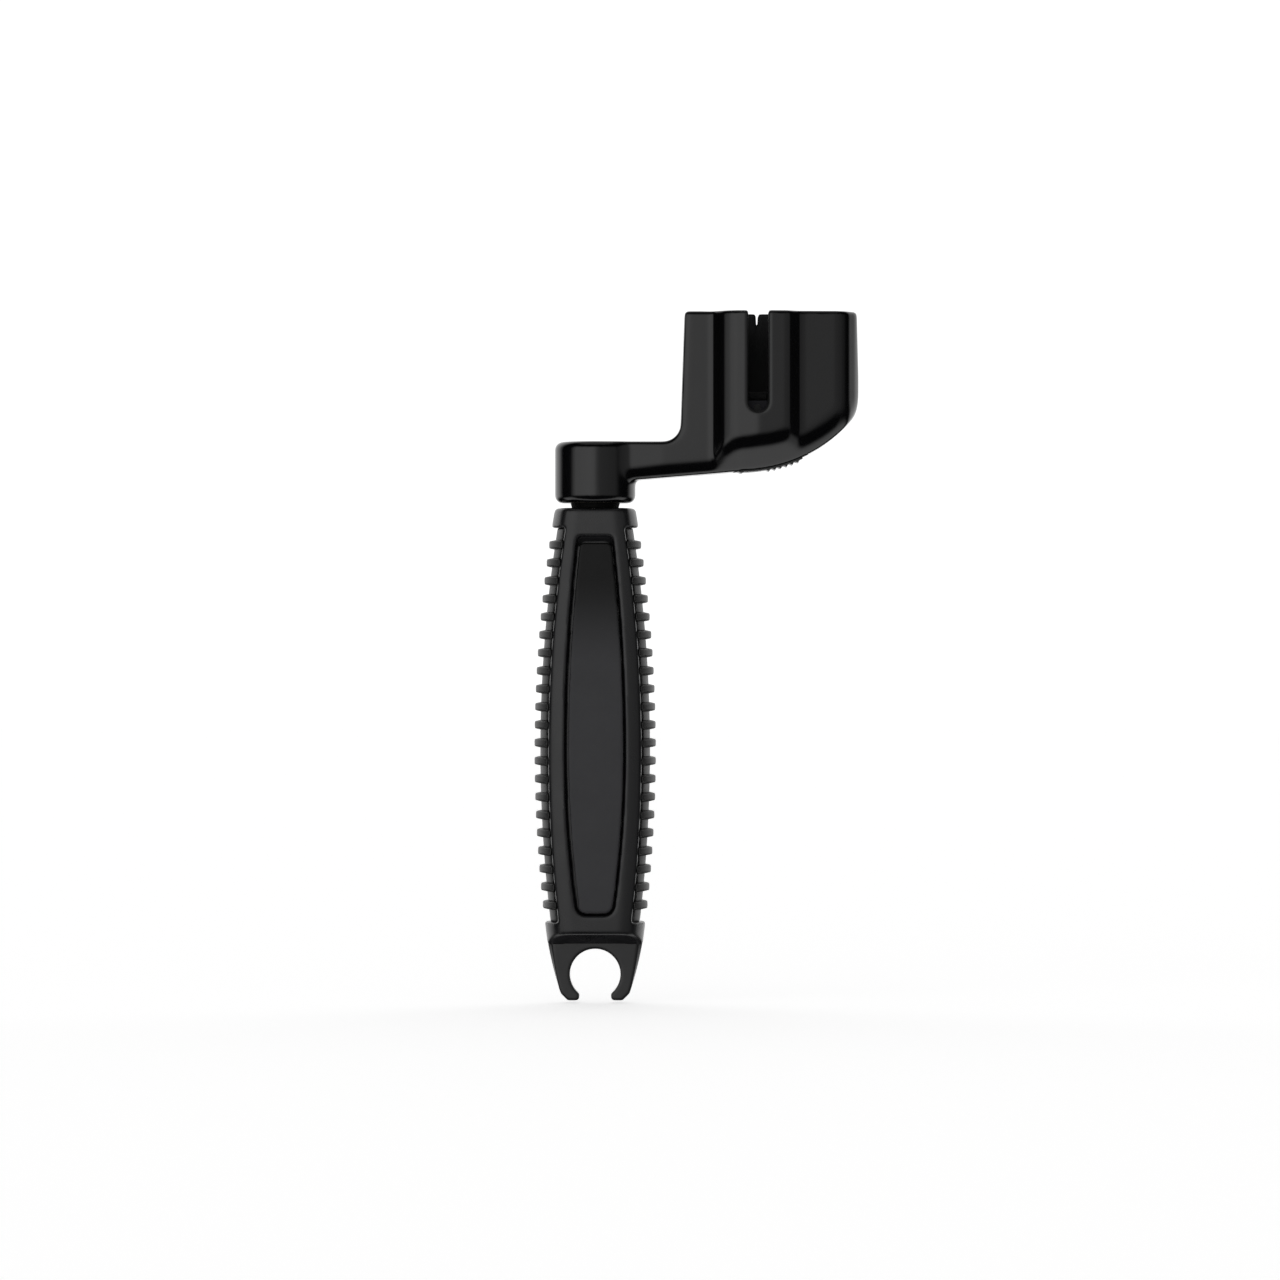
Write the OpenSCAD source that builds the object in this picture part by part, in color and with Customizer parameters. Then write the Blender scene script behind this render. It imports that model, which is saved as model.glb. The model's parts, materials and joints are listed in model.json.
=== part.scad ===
// String winder for stringed instruments: a crank with a tuner socket turns on a steel spindle in a
// ribbed handle, a sprung lever under the socket clips strings, and a fork at the handle's end pulls
// bridge pins. The origin is the centre of the socket's mouth, +Z points out of the mouth along the
// socket's axis, and the spindle's axis stands parallel to it at x = -crank_throw.

/* [Crank] */
// Distance between the spindle axis and the socket axis
crank_throw = 37.3; // [36:0.1:46]
// Height from the arm's top face up to the socket rim
tower_h = 29.8; // [24:0.1:36]
// Height of the hub, from the arm's top face down
hub_h = 14.1; // [12:0.1:18]
// Radius of the hub
hub_r = 9.25; // [8.8:0.05:11]
// Half thickness of the arm and of the tower's left wing
arm_half_t = 6.8; // [6.6:0.1:7.6]
// Half thickness of the tower at its middle
boss_half_t = 11.4; // [10.4:0.1:12.4]
// Half thickness of the tower's right wing
wing_half_t = 8.4; // [7.6:0.1:9]
// Reach of the tower to the left of the socket axis, at the rim
tower_left = 16.8; // [16.2:0.1:19]
// Reach of the tower to the right of the socket axis
tower_right = 23.2; // [20:0.1:26]
// Lean of the tower's left face over its height
tower_draft = 0.9; // [0:0.1:1.5]
// Radius of the fillet between the arm and the tower
arm_fillet = 4; // [2:0.1:6]

/* [Keel] */
// Radius of the keel's curve, seen from the front
keel_r = 33.7; // [30:0.1:38]
// Depth of the keel's lowest curve below the arm's top face
keel_drop = 6.7; // [6.4:0.1:8]
// Half width of the flat under the keel
keel_half_w = 5.4; // [4.9:0.1:6]
// Slope of the keel's sides: rise for each unit outwards
keel_slope = 1.08; // [0.8:0.01:1.3]
// Fall of the arm's underside towards the hub, in degrees
arm_fall = 4.7; // [2:0.1:6]

/* [Tuner socket] */
// Length of the socket, along the arm
socket_l = 28; // [22:0.5:29]
// Width of the socket, front to back
socket_w = 11; // [9:0.25:11.25]
// Radius of the socket's corners
socket_corner_r = 3; // [1:0.5:5]
// Width of the slot in the front wall
slot_w = 4.6; // [4.4:0.1:5]
// Depth of the slit in the back wall
slit_depth = 8; // [4:0.5:12]
// Width of the slit at the rim
slit_w = 0.7; // [0.4:0.1:1.2]

/* [String cutter] */
// Height of the cutter block, from the arm's top face up to the socket floor
cutter_h = 11.5; // [11.5:0.1:14]
// Height of the string hole above the arm's top face
string_hole_h = 7.9; // [7.7:0.1:8.1]
// Radius of the string hole
string_hole_r = 0.8; // [0.6:0.05:0.9]
// Thickness of each blade
blade_t = 1.1; // [0.8:0.05:1.2]
// Gap between the two blades
blade_gap = 0.05; // [0.02:0.01:0.1]
// Half width of the lever
lever_half_w = 4; // [3.6:0.1:4]
// Gap between the lever and each side of its pocket
lever_side_gap = 0.3; // [0.2:0.05:0.4]
// Depth of the lever's thumb bar
lever_bar_t = 3.35; // [3:0.05:3.6]
// How far the thumb bar stands out of the keel
lever_proud = 0.25; // [0.1:0.05:0.5]
// Number of grip teeth on the thumb bar
tooth_count = 6; // [4:1:6]
// Distance between the grip teeth
tooth_pitch = 1.38; // [1:0.02:1.4]
// Height of the grip teeth
tooth_h = 0.5; // [0.2:0.05:0.6]
// Radius of the pivot pin
pivot_r = 1; // [0.8:0.05:1.2]
// Radial clearance of the lever on its pin
pivot_clearance = 0.04; // [0.02:0.01:0.08]
// Wire radius of the return spring
spring_wire_r = 0.3; // [0.2:0.05:0.4]
// Mean radius of the return spring
spring_r = 1.35; // [1.1:0.05:1.4]
// Turns of the return spring
spring_turns = 5; // [4:1:6]

/* [Spindle] */
// Radius of the spindle
spindle_r = 3; // [2.5:0.05:3.4]
// Depth that the spindle goes into the hub
spindle_grip = 10; // [8:0.1:11]
// Radial clearance of the spindle in its bushes
spindle_clearance = 0.05; // [0.02:0.01:0.1]
// Outer radius of the bushes
bush_r = 4.6; // [4.2:0.1:5]
// Length of each bush
bush_l = 11; // [8:0.5:14]
// Distance from the handle's top to the lower bush's lower end
bush_reach = 40; // [34:0.5:44]
// Radius of the upper bush's flange
flange_r = 6.2; // [5.7:0.1:6.4]
// Thickness of the flange
flange_t = 1; // [0.8:0.1:1.5]
// Gap between the hub and the handle
neck_gap = 1.15; // [0.8:0.05:2]
// Radius of the neck collar where it meets the hub
collar_r = 5.66; // [5:0.05:6.2]
// Thickness of the washer and of the retaining ring
washer_t = 0.8; // [0.6:0.05:1]
// End play of the handle on the spindle, at each end
end_play = 0.05; // [0.02:0.01:0.15]

/* [Handle] */
// Length of the handle's shells along their front face
grip_len = 97.5; // [82:0.5:118]
// Half width of the handle over the ribs, at its widest
grip_half_w = 13.96; // [12.5:0.02:15.5]
// Half depth of the handle at its deepest
grip_half_d = 9.75; // [9.2:0.05:11]
// Distance from the handle's top to its widest place
belly_drop = 55.5; // [44:0.5:62]
// Radius of the handle's outline, seen from the front
barrel_r = 330; // [320:5:500]
// Radius of the handle's outline, seen from the side
depth_r = 900; // [800:50:2000]
// Radius of the ribbed sides in cross-section
side_r = 12.45; // [12:0.05:13]
// Height of the plain cap above the ribs
cap_h = 4.5; // [3:0.1:6]
// Height of the plain band under the ribs
band_h = 2.6; // [2:0.1:5]
// Height of the sloped end under the front face
end_h = 2.65; // [2:0.05:4]

/* [Grip] */
// Distance between the ribs
rib_pitch = 4.13; // [3.4:0.01:5]
// Height of a rib at its root
rib_root = 2.2; // [1.4:0.05:2.6]
// Height of a rib at its tip
rib_tip = 1.6; // [1:0.05:2]
// Depth of the gaps between the ribs
rib_depth = 1.35; // [0.8:0.05:1.6]
// Width of the ribbed sides, seen from the front
strip_w = 3.26; // [2.8:0.02:3.6]

/* [Panels] */
// Half width of a panel at its widest
panel_half_w = 6.95; // [6:0.05:7.4]
// Distance from the handle's top to a panel's top
panel_drop = 6.45; // [5.5:0.05:9]
// Distance from a panel's lower end to the end of the front face
panel_end = 4.2; // [3:0.1:8]
// Radius of a panel's sides above its widest place
panel_upper_r = 420; // [400:10:900]
// Radius of a panel's sides below its widest place
panel_lower_r = 265; // [260:5:600]
// Depth of a panel's seat in the frame
recess_d = 1.6; // [1.2:0.05:2]
// Thickness of a panel
panel_t = 0.8; // [0.5:0.05:1]
// Gap around a panel
panel_gap = 0.1; // [0.05:0.05:0.2]

/* [Shell screws] */
// Number of screws that hold the shells together
screw_count = 3; // [2:1:4]
// Radius of a screw's shank
screw_r = 1.1; // [0.9:0.05:1.4]
// Radius of a screw's head
screw_head_r = 2.2; // [1.9:0.05:2.4]
// Height of a screw's head
screw_head_h = 1.4; // [1:0.1:1.5]

/* [Pin puller] */
// Thickness of the fork
fork_t = 3.5; // [2.5:0.1:4]
// Radius of the notch that takes the bridge pin
notch_r = 5.8; // [5:0.1:6.2]
// Half width of the notch's opening
notch_half_open = 3.63; // [3.2:0.01:4.2]
// Distance from the shells' end to the notch's centre
notch_drop = 6.85; // [6.4:0.05:8]
// Half width of the fork's tips
fork_tip_half_w = 7.9; // [7.6:0.1:9]
// Radius of the fork's outer edges
fork_flank_r = 80; // [60:5:160]
// Length of the tang inside the shells, above their end
tang_l = 18; // [16:0.5:22]
// Half width of the tang
tang_half_w = 7; // [5:0.1:8]

/* [Hidden] */
$fn = 96;
arc_fn = 720;
big = 200;
tiny = 0.01;

arm_z = -tower_h;
hub_z = arm_z - hub_h;
grip_z = hub_z - neck_gap;
spindle_x = -crank_throw;
socket_depth = tower_h - cutter_h;

// Places in the cutter block, in X and in height above the arm's top face
pivot_x = -8.2;
pivot_h = -2.8;
pivot_boss_r = 3;
pocket_half_w = lever_half_w + lever_side_gap;
pocket_left = -5.2;
pocket_right = 11.4;
pocket_top = 4;
blade_room_left = -5.2;
blade_room_right = 5.9;
blade_room_top = cutter_h - 2;
slot_floor_h = string_hole_h - 1.2;
string_way_slope = 0.67;
keel_centre_x = -3.8;
keel_centre_h = keel_r - keel_drop;
bar_outer_r = keel_r + lever_proud;
bar_inner_r = bar_outer_r - lever_bar_t;
bar_start = -1.5;
bar_end = 24.6;
tooth_start = 10.8;
heel_r = 0.9;
arm_taper = 0.5;
spring_x = 8.6;
spring_bore_r = 2.1;
spring_top_h = 7.3;
spring_seat_h = keel_centre_h - 0.1
  - sqrt(pow(bar_inner_r, 2) - pow(spring_x - spring_bore_r - keel_centre_x, 2));
blade_screw_x = 4.7;
blade_screw_r = 0.6;
blade_head_r = 0.95;
blade_head_h = 0.6;
blade_screw_h = [5.3, 8.3];
blade_left = -1.3;
blade_right = 2.6;
blade_top_h = string_hole_h - string_hole_r - 0.3;
blade_low_h = blade_top_h - 5.6;
post_left = -1.5;
post_right = 3.2;
post_top_h = blade_top_h - 1.6;
post_back = 3.2;
rivet_r = 0.7;
rivet_head_r = 1.15;
rivet_head_h = 0.55;
rivets = [[-0.2, 3.6], [1.5, 1.8]];
pin_end = 7.4;

// Places in the handle, in height above its top, so they are negative
grip_end_z = -grip_len;
shell_end_z = grip_end_z - end_h;
belly_z = -belly_drop;
strip_top_z = -cap_h;
strip_end_z = grip_end_z + band_h;
strip_len = strip_top_z - strip_end_z;
rib_count = floor((strip_len - rib_root) / rib_pitch);
first_rib_z = (strip_top_z + strip_end_z) / 2 + (rib_count - 1) / 2 * rib_pitch;
side_x = grip_half_w - side_r;
frame_half_w = grip_half_w - strip_w;
notch_z = shell_end_z - notch_drop;
fork_end_z = notch_z - notch_r - 0.25;
tang_top_z = shell_end_z + tang_l;
ring_z = -bush_reach - end_play - washer_t;
ring_groove_r = spindle_r - 0.4;
washer_lap = 0.2;
ring_r = bush_r + washer_lap;
spindle_end_z = ring_z - washer_t - 1.4;
ring_room_r = ring_r + 0.6;
ring_room_z = spindle_end_z - 1;
screw_seat = 5.9;
screw_tip = -5.6;
screw_first_z = ring_room_z - 3.6;
screw_last_z = tang_top_z - 6;
screw_pitch = (screw_first_z - screw_last_z) / (screw_count - 1);
screw_hole_r = screw_r + 0.2;
screw_boss_r = 3.2;
shell_room_w = 7;
shell_room_d = 5.4;

// ---- Helpers ----

module at_arm() { translate([0, 0, arm_z]) children(); }

module at_handle() { translate([spindle_x, 0, grip_z]) children(); }

// Stands a shape drawn in X and height upright, from y0 to y1.
module upright(y0, y1) {
  translate([0, y1, 0]) rotate([90, 0, 0]) linear_extrude(y1 - y0) children();
}

// A box from one corner to the other.
module block(low, high) { translate(low) cube(high - low); }

// A cylinder along Y at x and height z.
module rod_y(x, z, r, y0, y1) {
  translate([x, y1, z]) rotate([90, 0, 0]) cylinder(r = r, h = y1 - y0);
}

// ---- Crank moulding ----

// The crank seen from above: arm, left wing, middle boss and right wing, the same front and back.
module crank_plan() {
  half = [
    [spindle_x, arm_half_t - arm_taper], [-tower_left - 5, arm_half_t], [-10.4, arm_half_t],
    [-8.1, boss_half_t - 1.8], [-5.7, boss_half_t - 0.3], [0, boss_half_t], [6.9, boss_half_t - 0.4],
    [9.8, wing_half_t], [tower_right - 4.8, wing_half_t], [tower_right - 2.7, wing_half_t - 1.8],
    [tower_right - 0.8, wing_half_t - 4.8], [tower_right + 0.6, wing_half_t - 8]
  ];
  back = [for (i = [len(half) - 1:-1:0]) [half[i].x, -half[i].y]];
  polygon(concat(half, back));
}

// The crank seen from the front, above its keel: arm, fillet and leaning tower.
module crank_front() {
  foot = -tower_left - tower_draft;
  corner = [foot - arm_fillet, arm_z + arm_fillet];
  fillet = [for (a = [0:7.5:90]) corner + arm_fillet * [sin(a), -cos(a)]];
  polygon(concat(
    [[spindle_x, -big], [spindle_x, arm_z]],
    fillet,
    [[-tower_left, 0], [tower_right - 0.4, 0], [tower_right, -tower_h / 2], [tower_right, -big]]
  ));
}

// What lies above the underside: a wheel with sloping rims under the tower, and a tilted bed under
// the arm, which stands a small step lower where they meet.
module above_keel() translate([keel_centre_x, 0, keel_centre_h]) {
  rise = big / 10;
  slope_h = (rise - keel_half_w) * keel_slope;
  bed_h = slope_h * cos(arm_fall);
  step = 0.2;
  rotate([90, 0, 0]) rotate_extrude(angle = 130, start = -100, $fn = arc_fn)
    polygon([[0, -rise], [keel_r - slope_h, -rise], [keel_r, -keel_half_w],
             [keel_r, keel_half_w], [keel_r - slope_h, rise], [0, rise]]);
  translate([0, 0, -keel_r - step]) rotate([0, -arm_fall, 0]) rotate([0, -90, 0])
    linear_extrude(big / 2)
      polygon([[big, -rise], [bed_h, -rise], [0, -keel_half_w], [0, keel_half_w], [bed_h, rise],
        [big, rise]]);
  block([-rise / 2, -rise, -0.3 * keel_r], [big, rise, big]);
}

module hub() {
  edge = 1.8;
  translate([spindle_x, 0, hub_z]) rotate_extrude() {
    square([hub_r - edge, hub_h]);
    translate([0, edge]) square([hub_r, hub_h - 2 * edge]);
    for (z = [edge, hub_h - edge]) translate([hub_r - edge, z]) circle(edge);
  }
}

module socket_outline() {
  inner = [socket_l, socket_w] - 2 * socket_corner_r * [1, 1];
  square([inner.x, socket_w], center = true);
  square([socket_l, inner.y], center = true);
  for (x = [-0.5, 0.5], y = [-0.5, 0.5]) translate([inner.x * x, inner.y * y]) circle(socket_corner_r);
}

module socket_cuts() {
  translate([0, 0, -socket_depth]) linear_extrude(big) socket_outline();
  upright(-big / 10, -blade_t) union() {
    translate([-slot_w / 2, arm_z + slot_floor_h + slot_w / 2]) square([slot_w, big]);
    translate([0, arm_z + slot_floor_h + slot_w / 2]) circle(slot_w / 2);
  }
  upright(0, big / 10)
    polygon([[-slit_w / 2, 1], [-slit_w / 2, 0], [0, -slit_depth], [slit_w / 2, 0], [slit_w / 2, 1]]);
}

// The string's way out: from the blade room it slopes up through the back wall.
module string_way() rotate([90, 0, 90]) linear_extrude(slot_w, center = true) {
  low = slot_floor_h - 1.5;
  run = big / 10;
  rise = string_way_slope * (run - pocket_half_w);
  polygon([[0, low], [pocket_half_w, low + 0.4], [run, low + 0.4 + rise],
           [run, blade_room_top + rise], [pocket_half_w, blade_room_top], [0, blade_room_top]]);
}

// The room under the socket floor: the lever's pocket, the blades' room, the string's way out,
// the spring's bore and the pin's hole.
module cutter_cuts() at_arm() {
  block([pocket_left, -pocket_half_w, -2 * keel_drop], [pocket_right, pocket_half_w, pocket_top]);
  rod_y(pivot_x, pivot_h, pivot_boss_r + 0.35, -pocket_half_w, pocket_half_w);
  block([pivot_x, -pocket_half_w, pivot_h - pivot_boss_r - 0.35],
        [pocket_left + 1, pocket_half_w, pivot_h + pivot_boss_r + 0.35]);
  block([blade_room_left, -blade_t, pocket_top - 1], [blade_room_right, pocket_half_w, blade_room_top]);
  string_way();
  translate([spring_x, 0, 0]) cylinder(r = spring_bore_r, h = spring_top_h);
  rod_y(pivot_x, pivot_h, pivot_r, -pin_end + 1, big / 10);
  for (h = blade_screw_h) rod_y(blade_screw_x, h, blade_screw_r, -blade_t - 3.2, 0);
}

module crank_arm() color([0.05, 0.05, 0.055]) difference() {
  union() {
    hub();
    intersection() {
      translate([0, 0, -big / 2]) linear_extrude(big / 2) crank_plan();
      upright(-big / 10, big / 10) crank_front();
      at_arm() above_keel();
    }
  }
  socket_cuts();
  cutter_cuts();
  translate([spindle_x, 0, hub_z - 1]) cylinder(r = spindle_r, h = spindle_grip + 1);
}

// ---- Spindle group ----

module spindle() color("silver") at_handle() {
  top = neck_gap + spindle_grip;
  translate([0, 0, ring_z]) cylinder(r = spindle_r, h = top - ring_z);
  translate([0, 0, ring_z - washer_t]) cylinder(r = ring_groove_r, h = washer_t);
  translate([0, 0, spindle_end_z]) cylinder(r = spindle_r, h = ring_z - washer_t - spindle_end_z);
}

module neck_collar() color([0.04, 0.04, 0.04]) at_handle() difference() {
  translate([0, 0, end_play]) cylinder(r1 = collar_r - 0.3, r2 = collar_r, h = neck_gap - end_play);
  translate([0, 0, -1]) cylinder(r = spindle_r, h = neck_gap + 2);
}

// A flat ring around the spindle, its lower face at height z.
module flat_ring(r_in, r_out, z) translate([0, 0, z]) difference() {
  cylinder(r = r_out, h = washer_t);
  translate([0, 0, -1]) cylinder(r = r_in, h = washer_t + 2);
}

module thrust_washer() color("silver") at_handle() flat_ring(spindle_r, ring_r, ring_z);

module retaining_ring() color("dimgray") at_handle() difference() {
  flat_ring(ring_groove_r, ring_r, ring_z - washer_t);
  mouth = ring_groove_r * 0.8;
  block([-mouth, -ring_r - 1, ring_z - 2 * washer_t], [mouth, 0, ring_z + washer_t]);
}

module bush_bore(z0, z1) translate([0, 0, z0]) cylinder(r = spindle_r + spindle_clearance, h = z1 - z0);

module upper_bush() color("ivory") at_handle() difference() {
  union() {
    translate([0, 0, -bush_l]) cylinder(r = bush_r, h = bush_l);
    translate([0, 0, -flange_t]) cylinder(r = flange_r, h = flange_t);
  }
  bush_bore(-bush_l - 1, 1);
}

module lower_bush() color("ivory") at_handle() difference() {
  translate([0, 0, -bush_reach]) cylinder(r = bush_r, h = bush_l);
  bush_bore(-bush_reach - 1, -bush_reach + bush_l + 1);
}

// ---- String cutter ----

module fixed_blade() color("silver") at_arm() difference() {
  block([blade_room_left + 0.2, -blade_t, pocket_top + 0.3], [blade_room_right - 0.2, 0, blade_room_top]);
  rod_y(0, string_hole_h, string_hole_r, -2 * blade_t, blade_t);
  for (h = blade_screw_h) rod_y(blade_screw_x, h, blade_screw_r, -2 * blade_t, blade_t);
}

module blade_screws() color("silver") at_arm() for (h = blade_screw_h) {
  rod_y(blade_screw_x, h, blade_screw_r, -blade_t - 3, 0);
  rod_y(blade_screw_x, h, blade_head_r, 0, blade_head_h);
}

module pivot_pin() color("silver") at_arm()
  rod_y(pivot_x, pivot_h, pivot_r, -pin_end + 1, pin_end);

// A coil of round wire up Z, from height z0 to z1.
module coil(mean_r, wire_r, turns, z0, z1) {
  steps = turns * 16;
  sides = 8;
  rise = z1 - z0 - 2 * wire_r;
  points = [for (i = [0:steps], j = [0:sides - 1])
    let (turn = 360 * turns * i / steps, side = 360 * j / sides, r = mean_r + wire_r * cos(side))
    [r * cos(turn), r * sin(turn), z0 + wire_r + rise * i / steps + wire_r * sin(side)]];
  walls = [for (i = [0:steps - 1], j = [0:sides - 1])
    let (k = (j + 1) % sides)
    [i * sides + j, (i + 1) * sides + j, (i + 1) * sides + k, i * sides + k]];
  ends = [[for (j = [0:sides - 1]) j], [for (j = [sides - 1:-1:0]) steps * sides + j]];
  polyhedron(points, concat(walls, ends));
}

module return_spring() color("silver") at_arm() translate([spring_x, 0, 0])
  coil(spring_r, spring_wire_r, spring_turns, spring_seat_h, spring_top_h - 0.05);

// The lever's thumb bar follows the keel's curve, about the keel's centre.
module thumb_bar() translate([keel_centre_x, 0, keel_centre_h]) {
  rotate([90, 0, 0]) rotate_extrude(angle = bar_end - bar_start, start = bar_start - 90, $fn = arc_fn)
    translate([bar_inner_r, -lever_half_w]) square([lever_bar_t, 2 * lever_half_w]);
  for (i = [0:tooth_count - 1]) {
    turn = tooth_start + i * 180 / PI * tooth_pitch / bar_outer_r;
    upright(-lever_half_w, lever_half_w) rotate(turn) translate([0, -bar_outer_r + tiny * 5])
      polygon([[-tooth_pitch / 2, 0], [0, -tooth_h], [tooth_pitch * 0.3, 0]]);
  }
}

module cutter_lever() color([0.06, 0.06, 0.065]) at_arm() difference() {
  union() {
    thumb_bar();
    rod_y(keel_centre_x, -keel_drop + heel_r / 2, heel_r, -lever_half_w, lever_half_w);
    rod_y(pivot_x, pivot_h, pivot_boss_r, -lever_half_w, lever_half_w);
    upright(-lever_half_w, lever_half_w)
      polygon([[pivot_x, pivot_h + pivot_boss_r], [0, -2.4], [2, -4], [-3.6, -keel_drop],
               [-4.6, pivot_h - pivot_boss_r], [pivot_x, pivot_h - pivot_boss_r]]);
    block([post_left, blade_t + blade_gap, -keel_drop + 1], [post_right, post_back, post_top_h]);
  }
  rod_y(pivot_x, pivot_h, pivot_r + pivot_clearance, -big / 10, big / 10);
  for (p = rivets) rod_y(p.x, p.y, rivet_r, 0, big / 10);
  translate([spring_x, 0, spring_seat_h]) cylinder(r = spring_bore_r, h = big / 10);
}

module moving_blade() color("silver") at_arm() difference() {
  block([blade_left, blade_gap, blade_low_h], [blade_right, blade_t + blade_gap, blade_top_h]);
  for (p = rivets) rod_y(p.x, p.y, rivet_r, -blade_t, 2 * blade_t);
}

module blade_rivets() color("silver") at_arm() for (p = rivets) {
  rod_y(p.x, p.y, rivet_r, blade_gap + 0.05, post_back);
  rod_y(p.x, p.y, rivet_head_r, post_back, post_back + rivet_head_h);
}

// ---- Handle ----

// Half width and half depth of the handle at height z.
function arc_sag(r, z) = r - sqrt(pow(r, 2) - pow(z - belly_z, 2));
function half_w_at(z) = grip_half_w - arc_sag(barrel_r, z);
function half_d_at(z) = grip_half_d - arc_sag(depth_r, z);

// One side of the handle, rolled about a far axis so that its outline is an arc. The child is the
// cross-section, drawn with the handle's axis at x = 0.
module rolled(turn) mirror([turn, 0, 0]) translate([grip_half_w - barrel_r, 0, belly_z])
  rotate([90, 0, 0]) rotate_extrude(angle = 30, start = -15, $fn = arc_fn)
    translate([barrel_r - grip_half_w, 0]) children();

// Both sides, round in cross-section and sunk by inset.
module round_sides(inset) intersection_for(turn = [0, 1]) rolled(turn) {
  translate([-25, -side_r]) square([25 + side_x, 2 * side_r]);
  translate([side_x, 0]) circle(side_r - inset);
}

// Both sides, flat in cross-section, at half width x.
module flat_sides(x) intersection_for(turn = [0, 1]) rolled(turn)
  translate([-25, -side_r]) square([25 + x, 2 * side_r]);

// The space between the curved front and back, sunk by inset.
module depth_slab(inset) intersection_for(side = [-1, 1])
  translate([0, side * (depth_r - grip_half_d), belly_z]) rotate([0, 90, 0])
    cylinder(r = depth_r - inset, h = 4 * grip_half_w, center = true, $fn = arc_fn);

// The handle seen from its side: flat top, sloped lower end.
module end_profile() rotate([90, 0, 90]) linear_extrude(4 * grip_half_w, center = true) {
  deep = half_d_at(grip_end_z);
  polygon([[-side_r, 0], [-side_r, grip_end_z], [-deep, grip_end_z], [-fork_t / 2, shell_end_z],
           [fork_t / 2, shell_end_z], [deep, grip_end_z], [side_r, grip_end_z], [side_r, 0]]);
}

// The zone at both sides that the ribbed grips fill.
module strip_zone() difference() {
  block([-side_r * 2, -side_r, strip_end_z], [side_r * 2, side_r, strip_top_z]);
  flat_sides(frame_half_w);
}

module lens(r) intersection_for(side = [-1, 1]) translate([side * (panel_half_w - r), belly_z])
  circle(r, $fn = arc_fn);

// A panel's outline, drawn in by inset.
module panel_outline(inset) {
  low = grip_end_z + panel_end + inset;
  top = -panel_drop - inset;
  intersection() {
    lens(panel_upper_r - inset);
    translate([-side_r, belly_z]) square([2 * side_r, top - belly_z]);
  }
  intersection() {
    lens(panel_lower_r - inset);
    translate([-side_r, low]) square([2 * side_r, belly_z - low]);
  }
}

function screw_z(i) = screw_first_z - i * screw_pitch;

module shell_room() difference() {
  block([-shell_room_w, -shell_room_d, tang_top_z + 1.5], [shell_room_w, shell_room_d, ring_room_z - 1.5]);
  for (i = [0:screw_count - 1]) rod_y(0, screw_z(i), screw_boss_r, -side_r, side_r);
}

// One shell of the pair: side is -1 for the front and 1 for the back.
module shell(side) difference() {
  intersection() {
    round_sides(0);
    depth_slab(0);
    end_profile();
    block([-side_r * 2, min(0, side * side_r), 2 * shell_end_z], [side_r * 2, max(0, side * side_r), 0]);
  }
  strip_zone();
  difference() {
    upright(min(0, side * side_r), max(0, side * side_r)) panel_outline(0);
    depth_slab(recess_d);
  }
  translate([0, 0, -bush_reach]) cylinder(r = bush_r, h = bush_reach + 1);
  translate([0, 0, -flange_t]) cylinder(r = flange_r, h = flange_t + 1);
  translate([0, 0, ring_room_z]) cylinder(r = ring_room_r, h = -bush_reach - ring_room_z);
  shell_room();
  block([-tang_half_w, -fork_t / 2, 2 * shell_end_z], [tang_half_w, fork_t / 2, tang_top_z]);
  for (i = [0:screw_count - 1]) {
    if (side < 0) rod_y(0, screw_z(i), screw_r, screw_tip, 0);
    if (side > 0) {
      rod_y(0, screw_z(i), screw_hole_r, 0, side_r);
      rod_y(0, screw_z(i), screw_head_r + 0.2, screw_seat, side_r);
    }
  }
}

module handle_front_shell() color([0.07, 0.07, 0.072]) at_handle() shell(-1);

module handle_rear_shell() color([0.07, 0.07, 0.072]) at_handle() shell(1);

// The ribs of one side, as slabs that reach past the outline.
module rib_slabs() for (i = [0:rib_count - 1]) {
  z = first_rib_z - i * rib_pitch;
  root_x = half_w_at(z) - rib_depth;
  upright(-side_r, side_r) polygon([
    [0, z - rib_root / 2], [root_x, z - rib_root / 2], [root_x + rib_depth, z - rib_tip / 2],
    [2 * side_r, z - rib_tip / 2], [2 * side_r, z + rib_tip / 2], [root_x + rib_depth, z + rib_tip / 2],
    [root_x, z + rib_root / 2], [0, z + rib_root / 2]
  ]);
}

// The ribbed grip of one side: turn is 0 for the right and 1 for the left.
module grip(turn) mirror([turn, 0, 0]) intersection() {
  difference() {
    block([0, -side_r, strip_end_z], [side_r * 2, side_r, strip_top_z]);
    rolled(0) translate([-25, -side_r]) square([25 + frame_half_w, 2 * side_r]);
  }
  depth_slab(0);
  union() {
    round_sides(rib_depth);
    intersection() {
      round_sides(0);
      rib_slabs();
    }
  }
}

module grip_right() color([0.1, 0.1, 0.1]) at_handle() grip(0);

module grip_left() color([0.1, 0.1, 0.1]) at_handle() grip(1);

// The inlaid panel of one side: side is -1 for the front and 1 for the back.
module panel(side) intersection() {
  upright(min(0, side * side_r), max(0, side * side_r)) panel_outline(panel_gap);
  difference() {
    depth_slab(recess_d - panel_t);
    depth_slab(recess_d);
  }
}

module front_panel() color([0.09, 0.09, 0.095]) at_handle() panel(-1);

module rear_panel() color([0.09, 0.09, 0.095]) at_handle() panel(1);

module shell_screws() color("silver") at_handle() for (i = [0:screw_count - 1]) {
  rod_y(0, screw_z(i), screw_r, screw_tip, screw_seat);
  rod_y(0, screw_z(i), screw_head_r, screw_seat, screw_seat + screw_head_h);
}

// ---- Pin puller ----

// Centre of the arc of radius r through two points, to the left of the way from a to b.
function arc_centre(a, b, r) = (a + b) / 2
  + sqrt(pow(r, 2) - pow(norm(b - a) / 2, 2)) * [a.y - b.y, b.x - a.x] / norm(b - a);

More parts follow.
